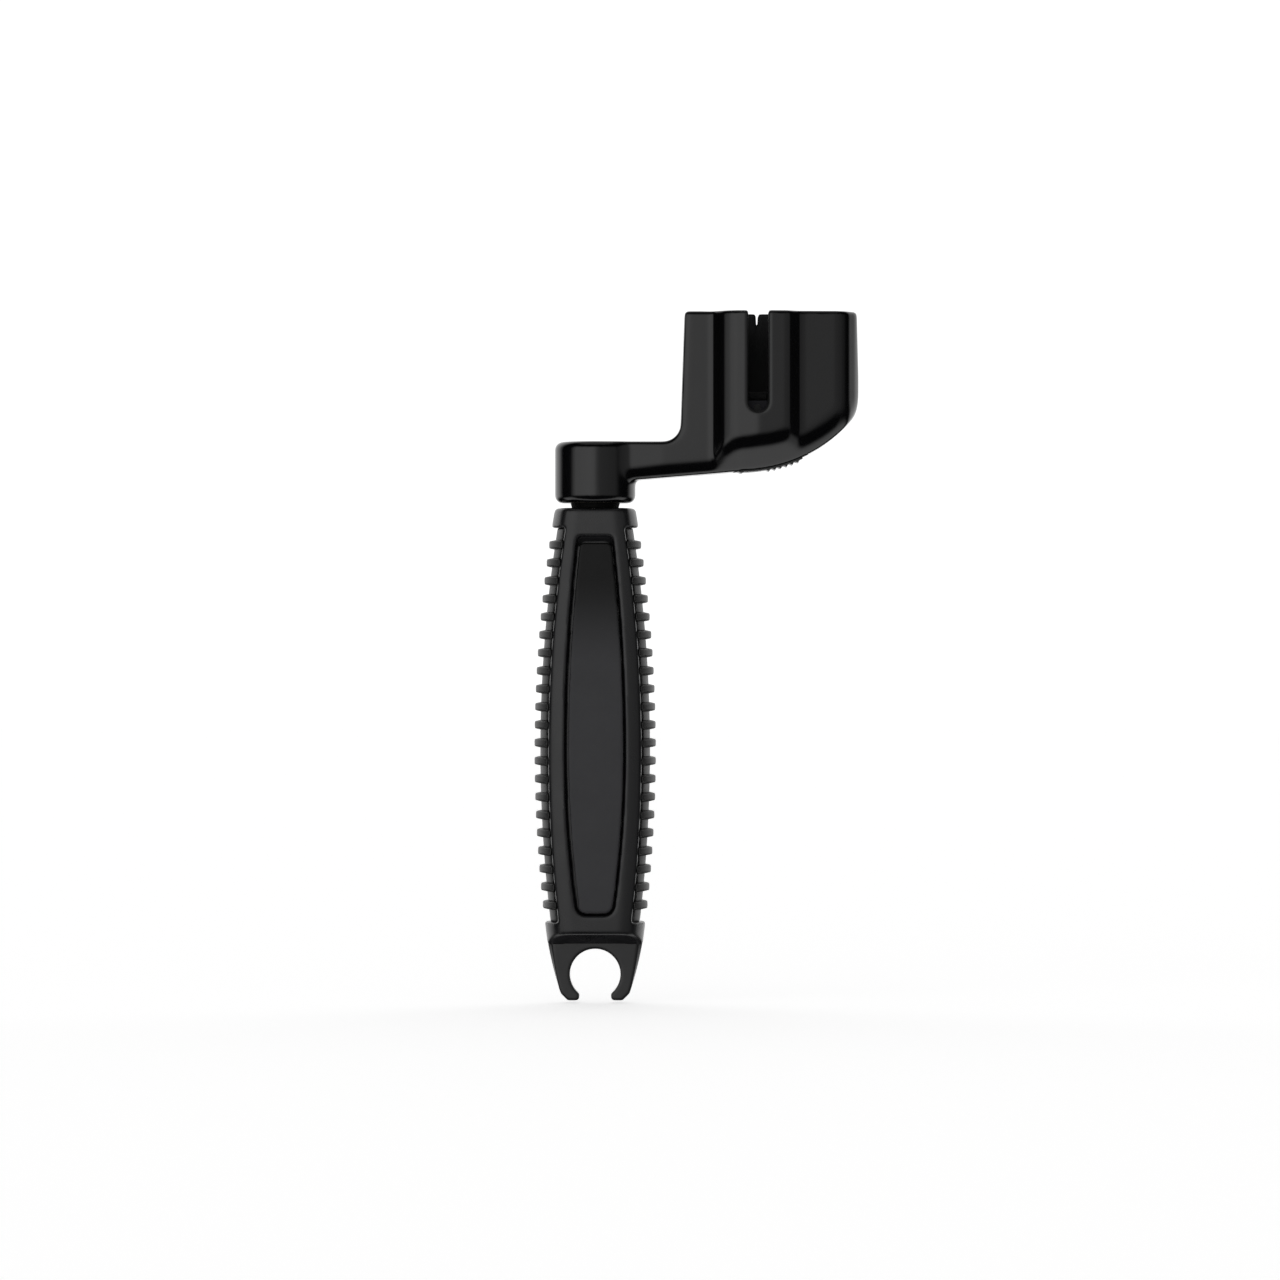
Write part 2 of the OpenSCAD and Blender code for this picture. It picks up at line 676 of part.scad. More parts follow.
module fork_outline() {
  top = [half_w_at(shell_end_z), shell_end_z];
  tip = [fork_tip_half_w, fork_end_z + 1.6];
  nose_r = 0.78;
  centre = arc_centre(tip, top, fork_flank_r);
  difference() {
    intersection() {
      intersection_for(side = [-1, 1]) translate([side * centre.x, centre.y])
        circle(fork_flank_r, $fn = arc_fn);
      translate([-side_r, fork_end_z]) square([2 * side_r, shell_end_z - fork_end_z]);
      rotate(45) square(sqrt(2) * [1, 1] * (fork_tip_half_w - fork_end_z - 1.6), center = true);
    }
    translate([0, notch_z]) circle(notch_r);
    translate([-notch_half_open - nose_r, 2 * fork_end_z])
      square([2 * (notch_half_open + nose_r), -fork_end_z + nose_r]);
    translate([-notch_half_open, notch_z - notch_r]) square([2 * notch_half_open, notch_r / 2]);
  }
  for (side = [-1, 1]) translate([side * (notch_half_open + nose_r), fork_end_z + nose_r]) circle(nose_r);
}

module pin_puller() color([0.06, 0.06, 0.06]) at_handle() difference() {
  upright(-fork_t / 2, fork_t / 2) union() {
    fork_outline();
    translate([-tang_half_w, shell_end_z - tiny]) square([2 * tang_half_w, tang_l + tiny]);
  }
  rod_y(0, screw_z(screw_count - 1), screw_hole_r, -side_r, side_r);
}

crank_arm();
spindle();
neck_collar();
thrust_washer();
retaining_ring();
fixed_blade();
blade_screws();
pivot_pin();
return_spring();
cutter_lever();
moving_blade();
blade_rivets();
handle_front_shell();
handle_rear_shell();
grip_left();
grip_right();
front_panel();
rear_panel();
shell_screws();
upper_bush();
lower_bush();
pin_puller();
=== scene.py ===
"""Looks of a string winder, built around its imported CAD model.

The moulded pieces are carved as signed-distance volumes in millimetres and turned into fine
meshes, so that every edge has the small radius a mould leaves. What repeats, such as ribs, screws
and the spring's turns, is made with Geometry Nodes.
"""
import functools
import itertools
import json
import logging
import math
from dataclasses import dataclass
from enum import Enum

import bpy
import numpy as np
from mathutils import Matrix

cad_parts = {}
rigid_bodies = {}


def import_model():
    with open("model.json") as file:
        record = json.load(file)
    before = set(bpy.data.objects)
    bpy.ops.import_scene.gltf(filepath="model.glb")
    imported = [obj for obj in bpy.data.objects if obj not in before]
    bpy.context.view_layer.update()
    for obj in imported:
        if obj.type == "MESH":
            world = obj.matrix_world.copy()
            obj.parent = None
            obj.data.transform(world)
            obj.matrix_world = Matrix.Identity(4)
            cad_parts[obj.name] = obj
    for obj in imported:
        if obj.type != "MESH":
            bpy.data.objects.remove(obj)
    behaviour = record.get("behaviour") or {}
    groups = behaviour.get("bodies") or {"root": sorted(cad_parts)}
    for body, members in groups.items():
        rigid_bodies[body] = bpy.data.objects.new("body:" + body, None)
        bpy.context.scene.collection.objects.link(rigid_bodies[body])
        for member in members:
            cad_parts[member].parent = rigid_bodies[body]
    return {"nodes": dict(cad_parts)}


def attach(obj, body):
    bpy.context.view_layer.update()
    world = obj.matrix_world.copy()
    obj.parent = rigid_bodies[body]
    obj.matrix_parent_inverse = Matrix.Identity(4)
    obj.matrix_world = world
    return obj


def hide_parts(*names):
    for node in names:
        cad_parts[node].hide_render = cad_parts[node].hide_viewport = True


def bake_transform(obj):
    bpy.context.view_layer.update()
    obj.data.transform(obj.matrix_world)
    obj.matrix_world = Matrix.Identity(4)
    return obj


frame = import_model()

LOG = logging.getLogger("string_winder")
MM = 0.001
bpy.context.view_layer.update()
Corner = tuple[float, float, float]


class Side(Enum):
    """A side of the handle: the axis it looks along and the sign of its direction."""

    FRONT = ("y", -1)
    REAR = ("y", 1)
    LEFT = ("x", -1)
    RIGHT = ("x", 1)

    @property
    def sign(self) -> int:
        """Which way the side looks along its axis."""
        return self.value[1]

    @property
    def word(self) -> str:
        """The side's name in lower case, for names of pieces."""
        return self.name.lower()

    def reach(self, a: float, b: float) -> tuple[float, float]:
        """Two distances out to this side as places along its axis, the lower one first."""
        return tuple(sorted((self.sign * a, self.sign * b)))


def linear(hex_colour: str) -> tuple[float, float, float, float]:
    """Turns an sRGB hex colour into linear RGBA.

    Args:
        hex_colour: six hex digits, such as "1a1a1c".

    Returns:
        Red, green, blue and alpha from 0 to 1.
    """
    parts = [int(hex_colour[i : i + 2], 16) / 255 for i in (0, 2, 4)]
    return (*(p / 12.92 if p <= 0.04045 else ((p + 0.055) / 1.055) ** 2.4 for p in parts), 1.0)


def add_node(tree, kind: str, settings: dict | None = None, inputs: dict | None = None):
    """Adds a node with its settings, values and links.

    Args:
        tree: the node tree.
        kind: the node's type name.
        settings: attributes of the node.
        inputs: socket names or numbers, each with a value or an output socket to link.

    Returns:
        The new node.
    """
    node = tree.nodes.new(kind)
    for name, value in (settings or {}).items():
        setattr(node, name, value)
    for name, value in (inputs or {}).items():
        if isinstance(value, bpy.types.NodeSocket):
            tree.links.new(value, node.inputs[name])
        else:
            node.inputs[name].default_value = value
    return node


def add_object(name: str, data: bpy.types.ID) -> bpy.types.Object:
    """Makes an object and puts it in the scene.

    Args:
        name: the object's name.
        data: its mesh or camera.

    Returns:
        The new object.
    """
    made = bpy.data.objects.new(name, data)
    bpy.context.scene.collection.objects.link(made)
    return made


# ---- Finishes ----


def empty_material(name: str) -> bpy.types.Material:
    """Makes a material whose node tree is still empty.

    Args:
        name: the material's name.

    Returns:
        The new material.
    """
    made = bpy.data.materials.new(name)
    made.use_nodes = True
    made.node_tree.nodes.clear()
    return made


@dataclass(frozen=True)
class Moulded:
    """A moulded plastic or rubber: colour, gloss and the texture its mould leaves."""

    name: str
    colour: str
    second_colour: str
    roughness: float
    grain_mm: float
    grain_depth_mm: float
    cloud_mm: float = 9.0
    wave_mm: float = 6.0
    wave_depth_mm: float = 0.0
    roughness_swing: float = 0.05
    speck_share: float = 0.0
    speck_mm: float = 0.35
    speck_colour: str = "6a6a6c"
    ior: float = 1.5
    specular: float = 0.5
    cavity_roughness: float = 0.0
    # Painted shade: the heights in mm over which the colour turns darker upwards, into the next colour.
    fade_mm: tuple[float, float] = (0.0, 0.0)
    clean_colour: str = "0c0c0c"

    def base_colour(self, tree, place, clouds) -> bpy.types.NodeSocket:
        """Builds the colour: clouds of two shades, painted shade that darkens it towards the top, and
        specks.

        Args:
            tree: the material's node tree.
            place: the place on the piece.
            clouds: the slow noise, from 0 to 1.

        Returns:
            The socket that gives the colour.
        """
        colour = add_node(
            tree, "ShaderNodeMix", {"data_type": "RGBA"},
            {"Factor": clouds, 6: linear(self.colour), 7: linear(self.second_colour)},
        ).outputs[2]
        if self.fade_mm[0] != self.fade_mm[1]:
            # Painted shade: the colour turns darker towards the top.
            height = add_node(tree, "ShaderNodeSeparateXYZ", inputs={0: place}).outputs[2]
            low, high = (end * MM for end in self.fade_mm)
            shade_share = add_node(
                tree, "ShaderNodeMapRange", {"interpolation_type": "SMOOTHSTEP"},
                {"Value": height, "From Min": low, "From Max": high},
            )
            colour = add_node(
                tree, "ShaderNodeMix", {"data_type": "RGBA"},
                {"Factor": shade_share.outputs[0], 6: colour, 7: linear(self.clean_colour)},
            ).outputs[2]
        if self.speck_share:
            # Pale dust specks and light rub marks, about 0.2 mm across.
            specks = add_node(
                tree, "ShaderNodeTexNoise",
                inputs={"Vector": place, "Scale": 1 / (self.speck_mm * MM), "Detail": 2.0},
            )
            share = add_node(
                tree, "ShaderNodeMapRange", {"clamp": True},
                {
                    "Value": specks.outputs["Fac"], "From Min": 0.72, "From Max": 0.8,
                    "To Max": self.speck_share,
                },
            )
            colour = add_node(
                tree, "ShaderNodeMix", {"data_type": "RGBA"},
                {"Factor": share.outputs[0], 6: colour, 7: linear(self.speck_colour)},
            ).outputs[2]
        return colour

    def gloss(self, tree, clouds) -> bpy.types.NodeSocket:
        """Builds the roughness: clouds around its middle value, and dull walls inside cuts.

        Args:
            tree: the material's node tree.
            clouds: the slow noise, from 0 to 1.

        Returns:
            The socket that gives the roughness.
        """
        gloss = add_node(
            tree, "ShaderNodeMapRange",
            inputs={
                "Value": clouds, "From Min": 0.3, "From Max": 0.7,
                "To Min": self.roughness - self.roughness_swing,
                "To Max": self.roughness + self.roughness_swing,
            },
        ).outputs[0]
        if self.cavity_roughness:
            # Inside the cuts the mould is not polished, so the walls stay dull and dark.
            inner = add_node(tree, "ShaderNodeAttribute", {"attribute_name": "cavity"})
            gloss = add_node(
                tree, "ShaderNodeMix", {"data_type": "FLOAT"},
                {"Factor": inner.outputs["Fac"], "A": gloss, "B": self.cavity_roughness},
            ).outputs[0]
        return gloss

    def relief(self, tree, place) -> bpy.types.NodeSocket:
        """Builds the fine relief: the mould's grain and, where there is one, a slow waviness.

        Args:
            tree: the material's node tree.
            place: the place on the piece.

        Returns:
            The socket that gives the normal.
        """
        normal = None
        layers = [(self.grain_mm, self.grain_depth_mm, 3.0), (self.wave_mm, self.wave_depth_mm, 1.0)]
        for size_mm, depth_mm, detail in layers:
            if not depth_mm:
                continue
            noise = add_node(
                tree, "ShaderNodeTexNoise",
                inputs={"Vector": place, "Scale": 1 / (size_mm * MM), "Detail": detail},
            )
            under = {"Normal": normal} if normal else {}
            normal = add_node(
                tree, "ShaderNodeBump",
                inputs={
                    "Height": noise.outputs["Fac"], "Distance": depth_mm * MM, "Strength": 1.0, **under,
                },
            ).outputs["Normal"]
        return normal

    def material(self) -> bpy.types.Material:
        """Builds the material.

        Returns:
            The new material.
        """
        made = empty_material(self.name)
        tree = made.node_tree
        place = add_node(tree, "ShaderNodeTexCoord").outputs["Object"]
        clouds = add_node(
            tree, "ShaderNodeTexNoise",
            inputs={"Vector": place, "Scale": 1 / (self.cloud_mm * MM), "Detail": 4.0, "Roughness": 0.6},
        ).outputs["Fac"]
        shader = add_node(
            tree, "ShaderNodeBsdfPrincipled",
            inputs={
                "Base Color": self.base_colour(tree, place, clouds),
                "Roughness": self.gloss(tree, clouds), "Normal": self.relief(tree, place),
                "IOR": self.ior, "Specular IOR Level": self.specular,
            },
        )
        add_node(tree, "ShaderNodeOutputMaterial", inputs={"Surface": shader.outputs[0]})
        return made


@dataclass(frozen=True)
class Steel:
    """A steel part: colour, roughness and the direction and spacing of its grinding marks."""

    name: str
    colour: str
    roughness: float
    stretch: Corner = (1.0, 1.0, 1.0)
    mark_mm: float = 0.12
    mark_depth_mm: float = 0.004

    def material(self) -> bpy.types.Material:
        """Builds the metal with fine grinding or drawing marks.

        Returns:
            The new material.
        """
        made = empty_material(self.name)
        tree = made.node_tree
        place = add_node(tree, "ShaderNodeTexCoord").outputs["Object"]
        turned = add_node(tree, "ShaderNodeMapping", inputs={"Vector": place, "Scale": self.stretch})
        marks = add_node(
            tree, "ShaderNodeTexNoise",
            inputs={"Vector": turned.outputs[0], "Scale": 1 / (self.mark_mm * MM), "Detail": 3.0},
        )
        gloss = add_node(
            tree, "ShaderNodeMapRange",
            inputs={
                "Value": marks.outputs["Fac"], "From Min": 0.3, "From Max": 0.7,
                "To Min": self.roughness - 0.06, "To Max": self.roughness + 0.08,
            },
        )
        bump = add_node(
            tree, "ShaderNodeBump",
            inputs={
                "Height": marks.outputs["Fac"], "Distance": self.mark_depth_mm * MM, "Strength": 1.0,
            },
        )
        shader = add_node(
            tree, "ShaderNodeBsdfPrincipled",
            inputs={
                "Base Color": linear(self.colour), "Metallic": 1.0,
                "Roughness": gloss.outputs[0], "Normal": bump.outputs["Normal"],
            },
        )
        add_node(tree, "ShaderNodeOutputMaterial", inputs={"Surface": shader.outputs[0]})
        return made


# Polished-mould ABS: near-black, mirror-like, with a slow waviness that bends its highlights.
GLOSS_ABS = Moulded("abs_gloss_moulded_black", "050506", "070708", 0.13, 0.5, 0.0006, wave_mm=7.0,
                    wave_depth_mm=0.02, roughness_swing=0.03, cavity_roughness=0.75)
# The same ABS from a plainer mould: slightly softer highlights, used for the lever.
LEVER_ABS = Moulded("abs_moulded_black_lever", "060607", "0a0a0b", 0.26, 0.4, 0.002)
# Glass-filled nylon fork: semi-gloss with a faint flow texture.
FORK_NYLON = Moulded("nylon_glass_filled_black", "0d0d0e", "131314", 0.3, 0.3, 0.003)
# ABS from a spark-eroded mould: satin, breaks highlights into a soft sheen.
SATIN_ABS = Moulded("abs_satin_textured_black", "111112", "171719", 0.29, 0.28, 0.005, speck_share=0.05)
# The sunk panel has the same grain and more dust and rub marks; painted shade darkens it near its top.
PANEL_ABS = Moulded("abs_satin_panel_black", "303032", "3c3c3e", 0.36, 0.3, 0.006, speck_share=0.16,
                    specular=0.18, fade_mm=(-82.0, -60.0))
# Thermoplastic rubber over-moulded on the sides: greyer and softer than the frame.
GRIP_RUBBER = Moulded("thermoplastic_rubber_black", "141414", "1c1c1c", 0.42, 0.25, 0.008, ior=1.46)
# Plain black acetal collar: rough-turned, in the shade between hub and handle.
COLLAR_ACETAL = Moulded("acetal_turned_black", "030303", "050505", 0.7, 0.3, 0.003, specular=0.2)
# Natural acetal bushes, waxy and pale.
BUSH_ACETAL = Moulded("acetal_natural", "d8d2c2", "e0dacb", 0.35, 0.4, 0.003)
# Ground spindle steel: fine rings round the spindle.
SPINDLE_STEEL = Steel("steel_ground", "b9babd", 0.22, (1.0, 1.0, 12.0))
# Hardened blade steel: straight grinding marks.
BLADE_STEEL = Steel("steel_hardened_ground", "a9abb0", 0.26, (1.0, 1.0, 14.0))
# Black-oxide blade under the socket floor: dark, hardly shines.
BLADE_BLACK = Steel("steel_black_oxide", "2a2a2d", 0.42, (1.0, 1.0, 10.0))
# Oiled spring wire and ring: darker, drawn.
SPRING_STEEL = Steel("steel_spring_oiled", "6e7075", 0.32)
# Bright zinc plating: pale, slightly cloudy.
ZINC_STEEL = Steel("steel_zinc_plated", "b4b6b4", 0.34, mark_mm=0.6)


def material_of(finish: Moulded | Steel) -> bpy.types.Material:
    """The finish's material, made when it is first asked for."""
    return bpy.data.materials.get(finish.name) or finish.material()


def dress(piece: bpy.types.Object, finish: Moulded | Steel) -> None:
    """Gives a piece its finish.

    Args:
        piece: the mesh object.
        finish: the finish to use.
    """
    made = material_of(finish)
    piece.data.materials.clear()
    piece.data.materials.append(made)


def dress_cad(node: str, finish: Moulded | Steel) -> None:
    """Gives a CAD node that stays in view its finish.

    Args:
        node: the node's name.
        finish: the finish to use.
    """
    piece = frame["nodes"][node]
    made = material_of(finish)
    if piece.material_slots:
        for holder in piece.material_slots:
            holder.material = made
    else:
        piece.data.materials.append(made)
    LOG.info("cad node %s: %s", node, finish.name)


def place(piece: bpy.types.Object, body: str, finish: Moulded | Steel, slot: str, *nodes: str) -> None:
    """Dresses a finished piece, lets it ride on its body and stand for CAD nodes.

    Args:
        piece: the mesh object.
        body: the body that it moves with.
        finish: the finish to use.
        slot: the record's material slot; not used.
        nodes: the CAD nodes that it replaces.
    """
    dress(piece, finish)
    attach(piece, body)
    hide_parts(*nodes)
    LOG.info("piece %s rides on %s", piece.name, body)


# ---- Volumes ----


def joined(*shapes: np.ndarray) -> np.ndarray:
    """What lies in any of several shapes."""
    return functools.reduce(np.minimum, shapes)


def shared(*shapes: np.ndarray) -> np.ndarray:
    """What lies in all of several shapes."""
    return functools.reduce(np.maximum, shapes)


def corner_distance(a: np.ndarray, b: np.ndarray) -> np.ndarray:
    """Distance to the corner that two faces make, from the distances to both, negative inside."""
    return np.hypot(np.maximum(a, 0), np.maximum(b, 0)) + np.minimum(np.maximum(a, b), 0)


def easing(a: np.ndarray, b: np.ndarray, reach: float) -> np.ndarray:
    """How far to move the surface where two shapes meet, so that they meet in a curve.

    Args:
        a: the distances of one shape.
        b: the distances of the other.
        reach: how far from the meeting line the curve starts.

    Returns:
        What is added for a rounder edge, or taken off for a fillet.
    """
    return np.maximum(reach - np.abs(a - b), 0) ** 2 / (4 * reach)


def polygon_distance(px: np.ndarray, py: np.ndarray, points: list[tuple[float, float]]) -> np.ndarray:
    """Signed distance to a polygon, negative inside.

    Args:
        px: first coordinates.
        py: second coordinates.
        points: the polygon's corners in order.

    Returns:
        The distance at each place.
    """
    px, py = np.broadcast_arrays(px, py)
    best = np.full(px.shape, 1e9, np.float32)
    inside = np.zeros(px.shape, bool)
    for (ax, ay), (bx, by) in zip(points, points[1:] + points[:1]):
        ex, ey = bx - ax, by - ay
        t = np.clip(((px - ax) * ex + (py - ay) * ey) / max(ex * ex + ey * ey, 1e-12), 0, 1)
        best = np.minimum(best, (px - ax - t * ex) ** 2 + (py - ay - t * ey) ** 2)
        if ay != by:
            crosses = ((ay > py) != (by > py)) & (px < ax + (py - ay) * ex / ey)
            inside ^= crosses
    return np.where(inside, -np.sqrt(best), np.sqrt(best)).astype(np.float32)


class Volume:
    """A box of space on a grid, in millimetres, in which shapes are distances."""

    def __init__(self, low: Corner, high: Corner, cell: float) -> None:
        """Makes the grid.

        Args:
            low: lowest corner.
            high: highest corner.
            cell: distance between grid points.
        """
        self.low, self.cell = np.array(low, float), cell
        axes = [np.arange(a, b + cell, cell, dtype=np.float32) for a, b in zip(low, high)]
        self.x, self.y, self.z = np.meshgrid(*axes, indexing="ij", sparse=True)
        self.shape = tuple(len(a) for a in axes)

    def full(self, shape: np.ndarray) -> np.ndarray:
        """Spreads a shape over the whole grid."""
        return np.ascontiguousarray(np.broadcast_to(shape, self.shape), dtype=np.float32)

    def box(self, low: Corner, high: Corner) -> np.ndarray:
        """A box from one corner to the other."""
        return shared(*(np.maximum(a - v, v - b) for v, a, b in zip((self.x, self.y, self.z), low, high)))

    def rod_z(self, x: float, y: float, r: float, z0: float, z1: float) -> np.ndarray:
        """A cylinder along Z."""
        return np.maximum(np.hypot(self.x - x, self.y - y) - r, np.maximum(z0 - self.z, self.z - z1))

    def rod_y(self, x: float, z: float, r: float, y0: float, y1: float) -> np.ndarray:
        """A cylinder along Y."""
        return np.maximum(np.hypot(self.x - x, self.z - z) - r, np.maximum(y0 - self.y, self.y - y1))

    def softened(self, shape: np.ndarray, radius: float) -> np.ndarray:
        """Rounds every edge of a shape by smoothing its distances.

        Args:
            shape: the distances.
            radius: how far the smoothing reaches, about the edge radius it leaves.

        Returns:
            The smoothed distances.
        """
        out = self.full(shape)
        sigma = radius / self.cell
        half = max(1, math.ceil(2.5 * sigma))
        weights = np.exp(-0.5 * (np.arange(-half, half + 1) / sigma) ** 2)
        weights /= weights.sum()
        for axis in range(3):
            pad = [(half, half) if a == axis else (0, 0) for a in range(3)]
            wide = np.pad(out, pad, mode="edge")
            out = np.zeros_like(out)
            for k, weight in enumerate(weights):
                cut = [slice(None)] * 3
                cut[axis] = slice(k, k + self.shape[axis])
                out += np.float32(weight) * wide[tuple(cut)]
        return out

    def mesh(self, shape: np.ndarray, name: str) -> bpy.types.Object:
        """Turns the zero surface into a smooth closed mesh, one vertex for each crossed cell.

        Args:
            shape: the distances, negative inside.
            name: the new object's name.

        Returns:
            The new object, in metres.
        """
        shape = np.pad(self.full(shape), 1, constant_values=5.0)
        inside = shape < 0
        nx, ny, nz = (n - 1 for n in shape.shape)
        corners = list(itertools.product((0, 1), repeat=3))
        count = sum(inside[i : nx + i, j : ny + j, k : nz + k].astype(np.int8) for i, j, k in corners)
        mixed = (count > 0) & (count < 8)
        index = np.full(mixed.shape, -1, np.int32)
        index[mixed] = np.arange(int(mixed.sum()))
        at = np.argwhere(mixed)
        values = np.stack([shape[at[:, 0] + i, at[:, 1] + j, at[:, 2] + k] for i, j, k in corners], 1)
        # Each vertex is the mean of the places where the surface crosses its cell's edges.
        total, seen = np.zeros((len(at), 3)), np.zeros(len(at))
        for a, b in itertools.combinations(range(8), 2):
            step = np.subtract(corners[b], corners[a])
            if abs(step).sum() != 1:
                continue
            crossed = (values[:, a] < 0) != (values[:, b] < 0)
            fall = np.where(crossed, values[:, a] - values[:, b], 1)
            share = np.where(crossed, values[:, a] / fall, 0)
            total += crossed[:, None] * (np.array(corners[a]) + share[:, None] * step)
            seen += crossed
        points = (at + total / seen[:, None]) * self.cell + (self.low - self.cell)
        faces = np.concatenate([self.quads(inside, index, axis) for axis in range(3)])
        mesh = bpy.data.meshes.new(name)
        mesh.from_pydata((points * MM).tolist(), [], faces.tolist())
        mesh.shade_smooth()
        mesh.update()
        LOG.info("%s: %d faces", name, len(faces))
        return add_object(name, mesh)

    @staticmethod
    def quads(inside: np.ndarray, index: np.ndarray, axis: int) -> np.ndarray:
        """Finds the faces that look along one axis.

        Args:
            inside: whether each grid point is inside.
            index: the number of each cell's vertex.
            axis: which axis, from 0 to 2.

        Returns:
            Four vertex numbers for each face, turned so that it looks outwards.
        """
        u, v = (axis + 1) % 3, (axis + 2) % 3
        ahead, back = [slice(None)] * 3, [slice(None)] * 3
        ahead[axis], back[axis] = slice(1, None), slice(None, -1)
        first, second = inside[tuple(back)], inside[tuple(ahead)]
        places = np.argwhere(first != second)
        keep = (places[:, u] > 0) & (places[:, v] > 0)
        keep &= (places[:, u] < index.shape[u]) & (places[:, v] < index.shape[v])
        places = places[keep]
        ring = []
        for du, dv in ((-1, -1), (0, -1), (0, 0), (-1, 0)):
            cells = places.copy()
            cells[:, u] += du
            cells[:, v] += dv
            ring.append(index[tuple(cells.T)])
        faces = np.stack(ring, 1)
        outward = first[tuple(places.T)]
        faces[~outward] = faces[~outward][:, ::-1]
        return faces


@dataclass
class Spots:
    """Single places, in millimetres, that shapes can be measured at as on a Volume."""

    x: np.ndarray
    y: np.ndarray
    z: np.ndarray


# ---- Crank ----


@dataclass
class Crank:
    """The glossy moulding: hub, arm, slotted tower and keel."""

    throw: float = 37.3
    arm_z: float = -29.8
    arm_half_t: float = 6.8
    arm_taper: float = 0.5
    hub_z: float = -43.9
    hub_r: float = 9.25
    hub_edge: float = 1.8
    hub_fillet: float = 1.2
    boss_half_t: float = 11.4
    wing_half_t: float = 8.4
    left: float = 16.8
    right: float = 23.2
    draft: float = 0.9
    fillet: float = 4.0
    keel_r: float = 33.7
    keel_x: float = -3.8
    keel_z: float = -2.8
    keel_half_w: float = 5.4
    keel_slope: float = 1.08
    keel_step: float = 0.2
    keel_edge: float = 1.7
    arm_fall: float = 4.7
    socket_half: tuple[float, float] = (14.0, 5.5)
    socket_corner: float = 3.0
    socket_floor: float = -18.3
    slot_half_w: float = 2.3
    slot_end_z: float = -20.8
    slot_y: float = -1.1
    slit_h: float = 8.0
    slit_half_w: float = 0.05
    slit_flare: float = 0.3
    # The room under the socket floor: heights count from the arm's top.
    room_x: tuple[float, float] = (-5.2, 11.4)
    room_half_d: float = 4.3
    room_h: float = 4.0
    blades_x: float = 5.9
    way_low: float = 5.2
    way_high: float = 9.5
    way_step: float = 0.4
    way_rise: float = 0.67
    way_half_w: float = 2.3
    pin_x: float = -8.2
    pin_drop: float = 2.8
    pin_r: float = 1.0
    pin_front: float = -6.4
    eye_r: float = 3.35
    spring_x: float = 8.6
    spring_r: float = 2.1
    spring_h: float = 7.3
    spindle_r: float = 3.0
    spindle_h: float = 10.0
    # Beyond this, cuts run on out of the moulding.
    outside: float = 20.0
    edge: float = 0.42
    cut_edge: float = 0.26
    # Walls are dull up to this far outside a cut, over this run, and below the socket's rim.
    dull_reach: float = 0.5
    dull_run: float = 0.35
    rim_h: float = 0.6
    cell: float = 0.33

    def plan(self, v: Volume) -> np.ndarray:
        """Draws the outline seen from above, the same front and back.

        Args:
            v: the grid.

        Returns:
            The distances, negative inside.
        """
        arm, boss, wing, right = self.arm_half_t, self.boss_half_t, self.wing_half_t, self.right
        half = [
            (-self.throw, arm - self.arm_taper), (-self.left - 5, arm), (-10.4, arm),
            (-8.1, boss - 1.8), (-5.7, boss - 0.3), (0.0, boss), (6.9, boss - 0.4),
            (9.8, wing), (right - 4.8, wing - 0.5), (right - 2.7, wing - 1.8),
            (right - 0.8, wing - 4.8), (right + 0.6, wing - 8),
        ]
        return polygon_distance(v.x, v.y, half + [(x, -y) for x, y in reversed(half)])

    def front(self, v: Volume) -> np.ndarray:
        """Draws the outline seen from the front, above the keel.

        Args:
            v: the grid.

        Returns:
            The distances, negative inside.
        """
        low = -80.0
        cx, cz = -self.left - self.draft - self.fillet, self.arm_z + self.fillet
        turns = [math.radians(7.5 * i) for i in range(13)]
        bend = [(cx + self.fillet * math.sin(a), cz - self.fillet * math.cos(a)) for a in turns]
        points = [
            (-self.throw, low), (-self.throw, self.arm_z), *bend, (-self.left, 0.0),
            (self.right - 0.4, 0.0), (self.right, self.arm_z / 2), (self.right, low),
        ]
        return polygon_distance(v.x, v.z, points)

    def keel(self, v: Volume) -> np.ndarray:
        """Draws what lies above the underside: a wheel under the tower, a bed under the arm.

        Args:
            v: the grid.

        Returns:
            The distances, negative inside.
        """
        out = np.maximum(np.abs(v.y) - self.keel_half_w, 0)
        steep = self.keel_slope
        reach = np.hypot(v.x - self.keel_x, np.minimum(v.z - self.keel_z, 0)) - self.keel_r
        wheel = np.maximum(reach, (reach + out * steep) / math.hypot(1, steep))
        fall = math.radians(self.arm_fall)
        low = self.keel_z - self.keel_r - self.keel_step + (v.x - self.keel_x) * math.tan(fall)
        under = (low - v.z) * math.cos(fall)
        steep *= math.cos(fall)
        bed = np.maximum(under, (under + out * steep) / math.hypot(1, steep))
        return np.where(v.x >= self.keel_x, wheel, bed)

    def hub(self, v: Volume) -> np.ndarray:
        """Draws the hub, with well-rounded edges.

        Args:
            v: the grid.

        Returns:
            The distances, negative inside.
        """
        across = np.hypot(v.x + self.throw, v.y) - (self.hub_r - self.hub_edge)
        half = (self.arm_z - self.hub_z) / 2
        along = np.abs(v.z - (self.arm_z + self.hub_z) / 2) - (half - self.hub_edge)
        return corner_distance(across, along) - self.hub_edge

    def cuts(self, v: Volume | Spots) -> np.ndarray:
        """Draws the socket, the front slot and the slit in the back wall.

        Args:
            v: the grid or the places.

        Returns:
            The distances, negative inside a cut.
        """
        hx, hy = (h - self.socket_corner for h in self.socket_half)
        socket = corner_distance(np.abs(v.x) - hx, np.abs(v.y) - hy)
        socket = np.maximum(socket - self.socket_corner, self.socket_floor - v.z)
        below = np.minimum(v.z - self.slot_end_z, 0)
        slot = np.maximum(np.hypot(v.x, below) - self.slot_half_w, v.y - self.slot_y)
        flare = self.slit_flare * np.clip((v.z + self.slit_h) / self.slit_h, 0, 1)
        slit = np.abs(v.x) - flare - self.slit_half_w
        return joined(socket, slot, shared(slit, -v.y, -self.slit_h - v.z))

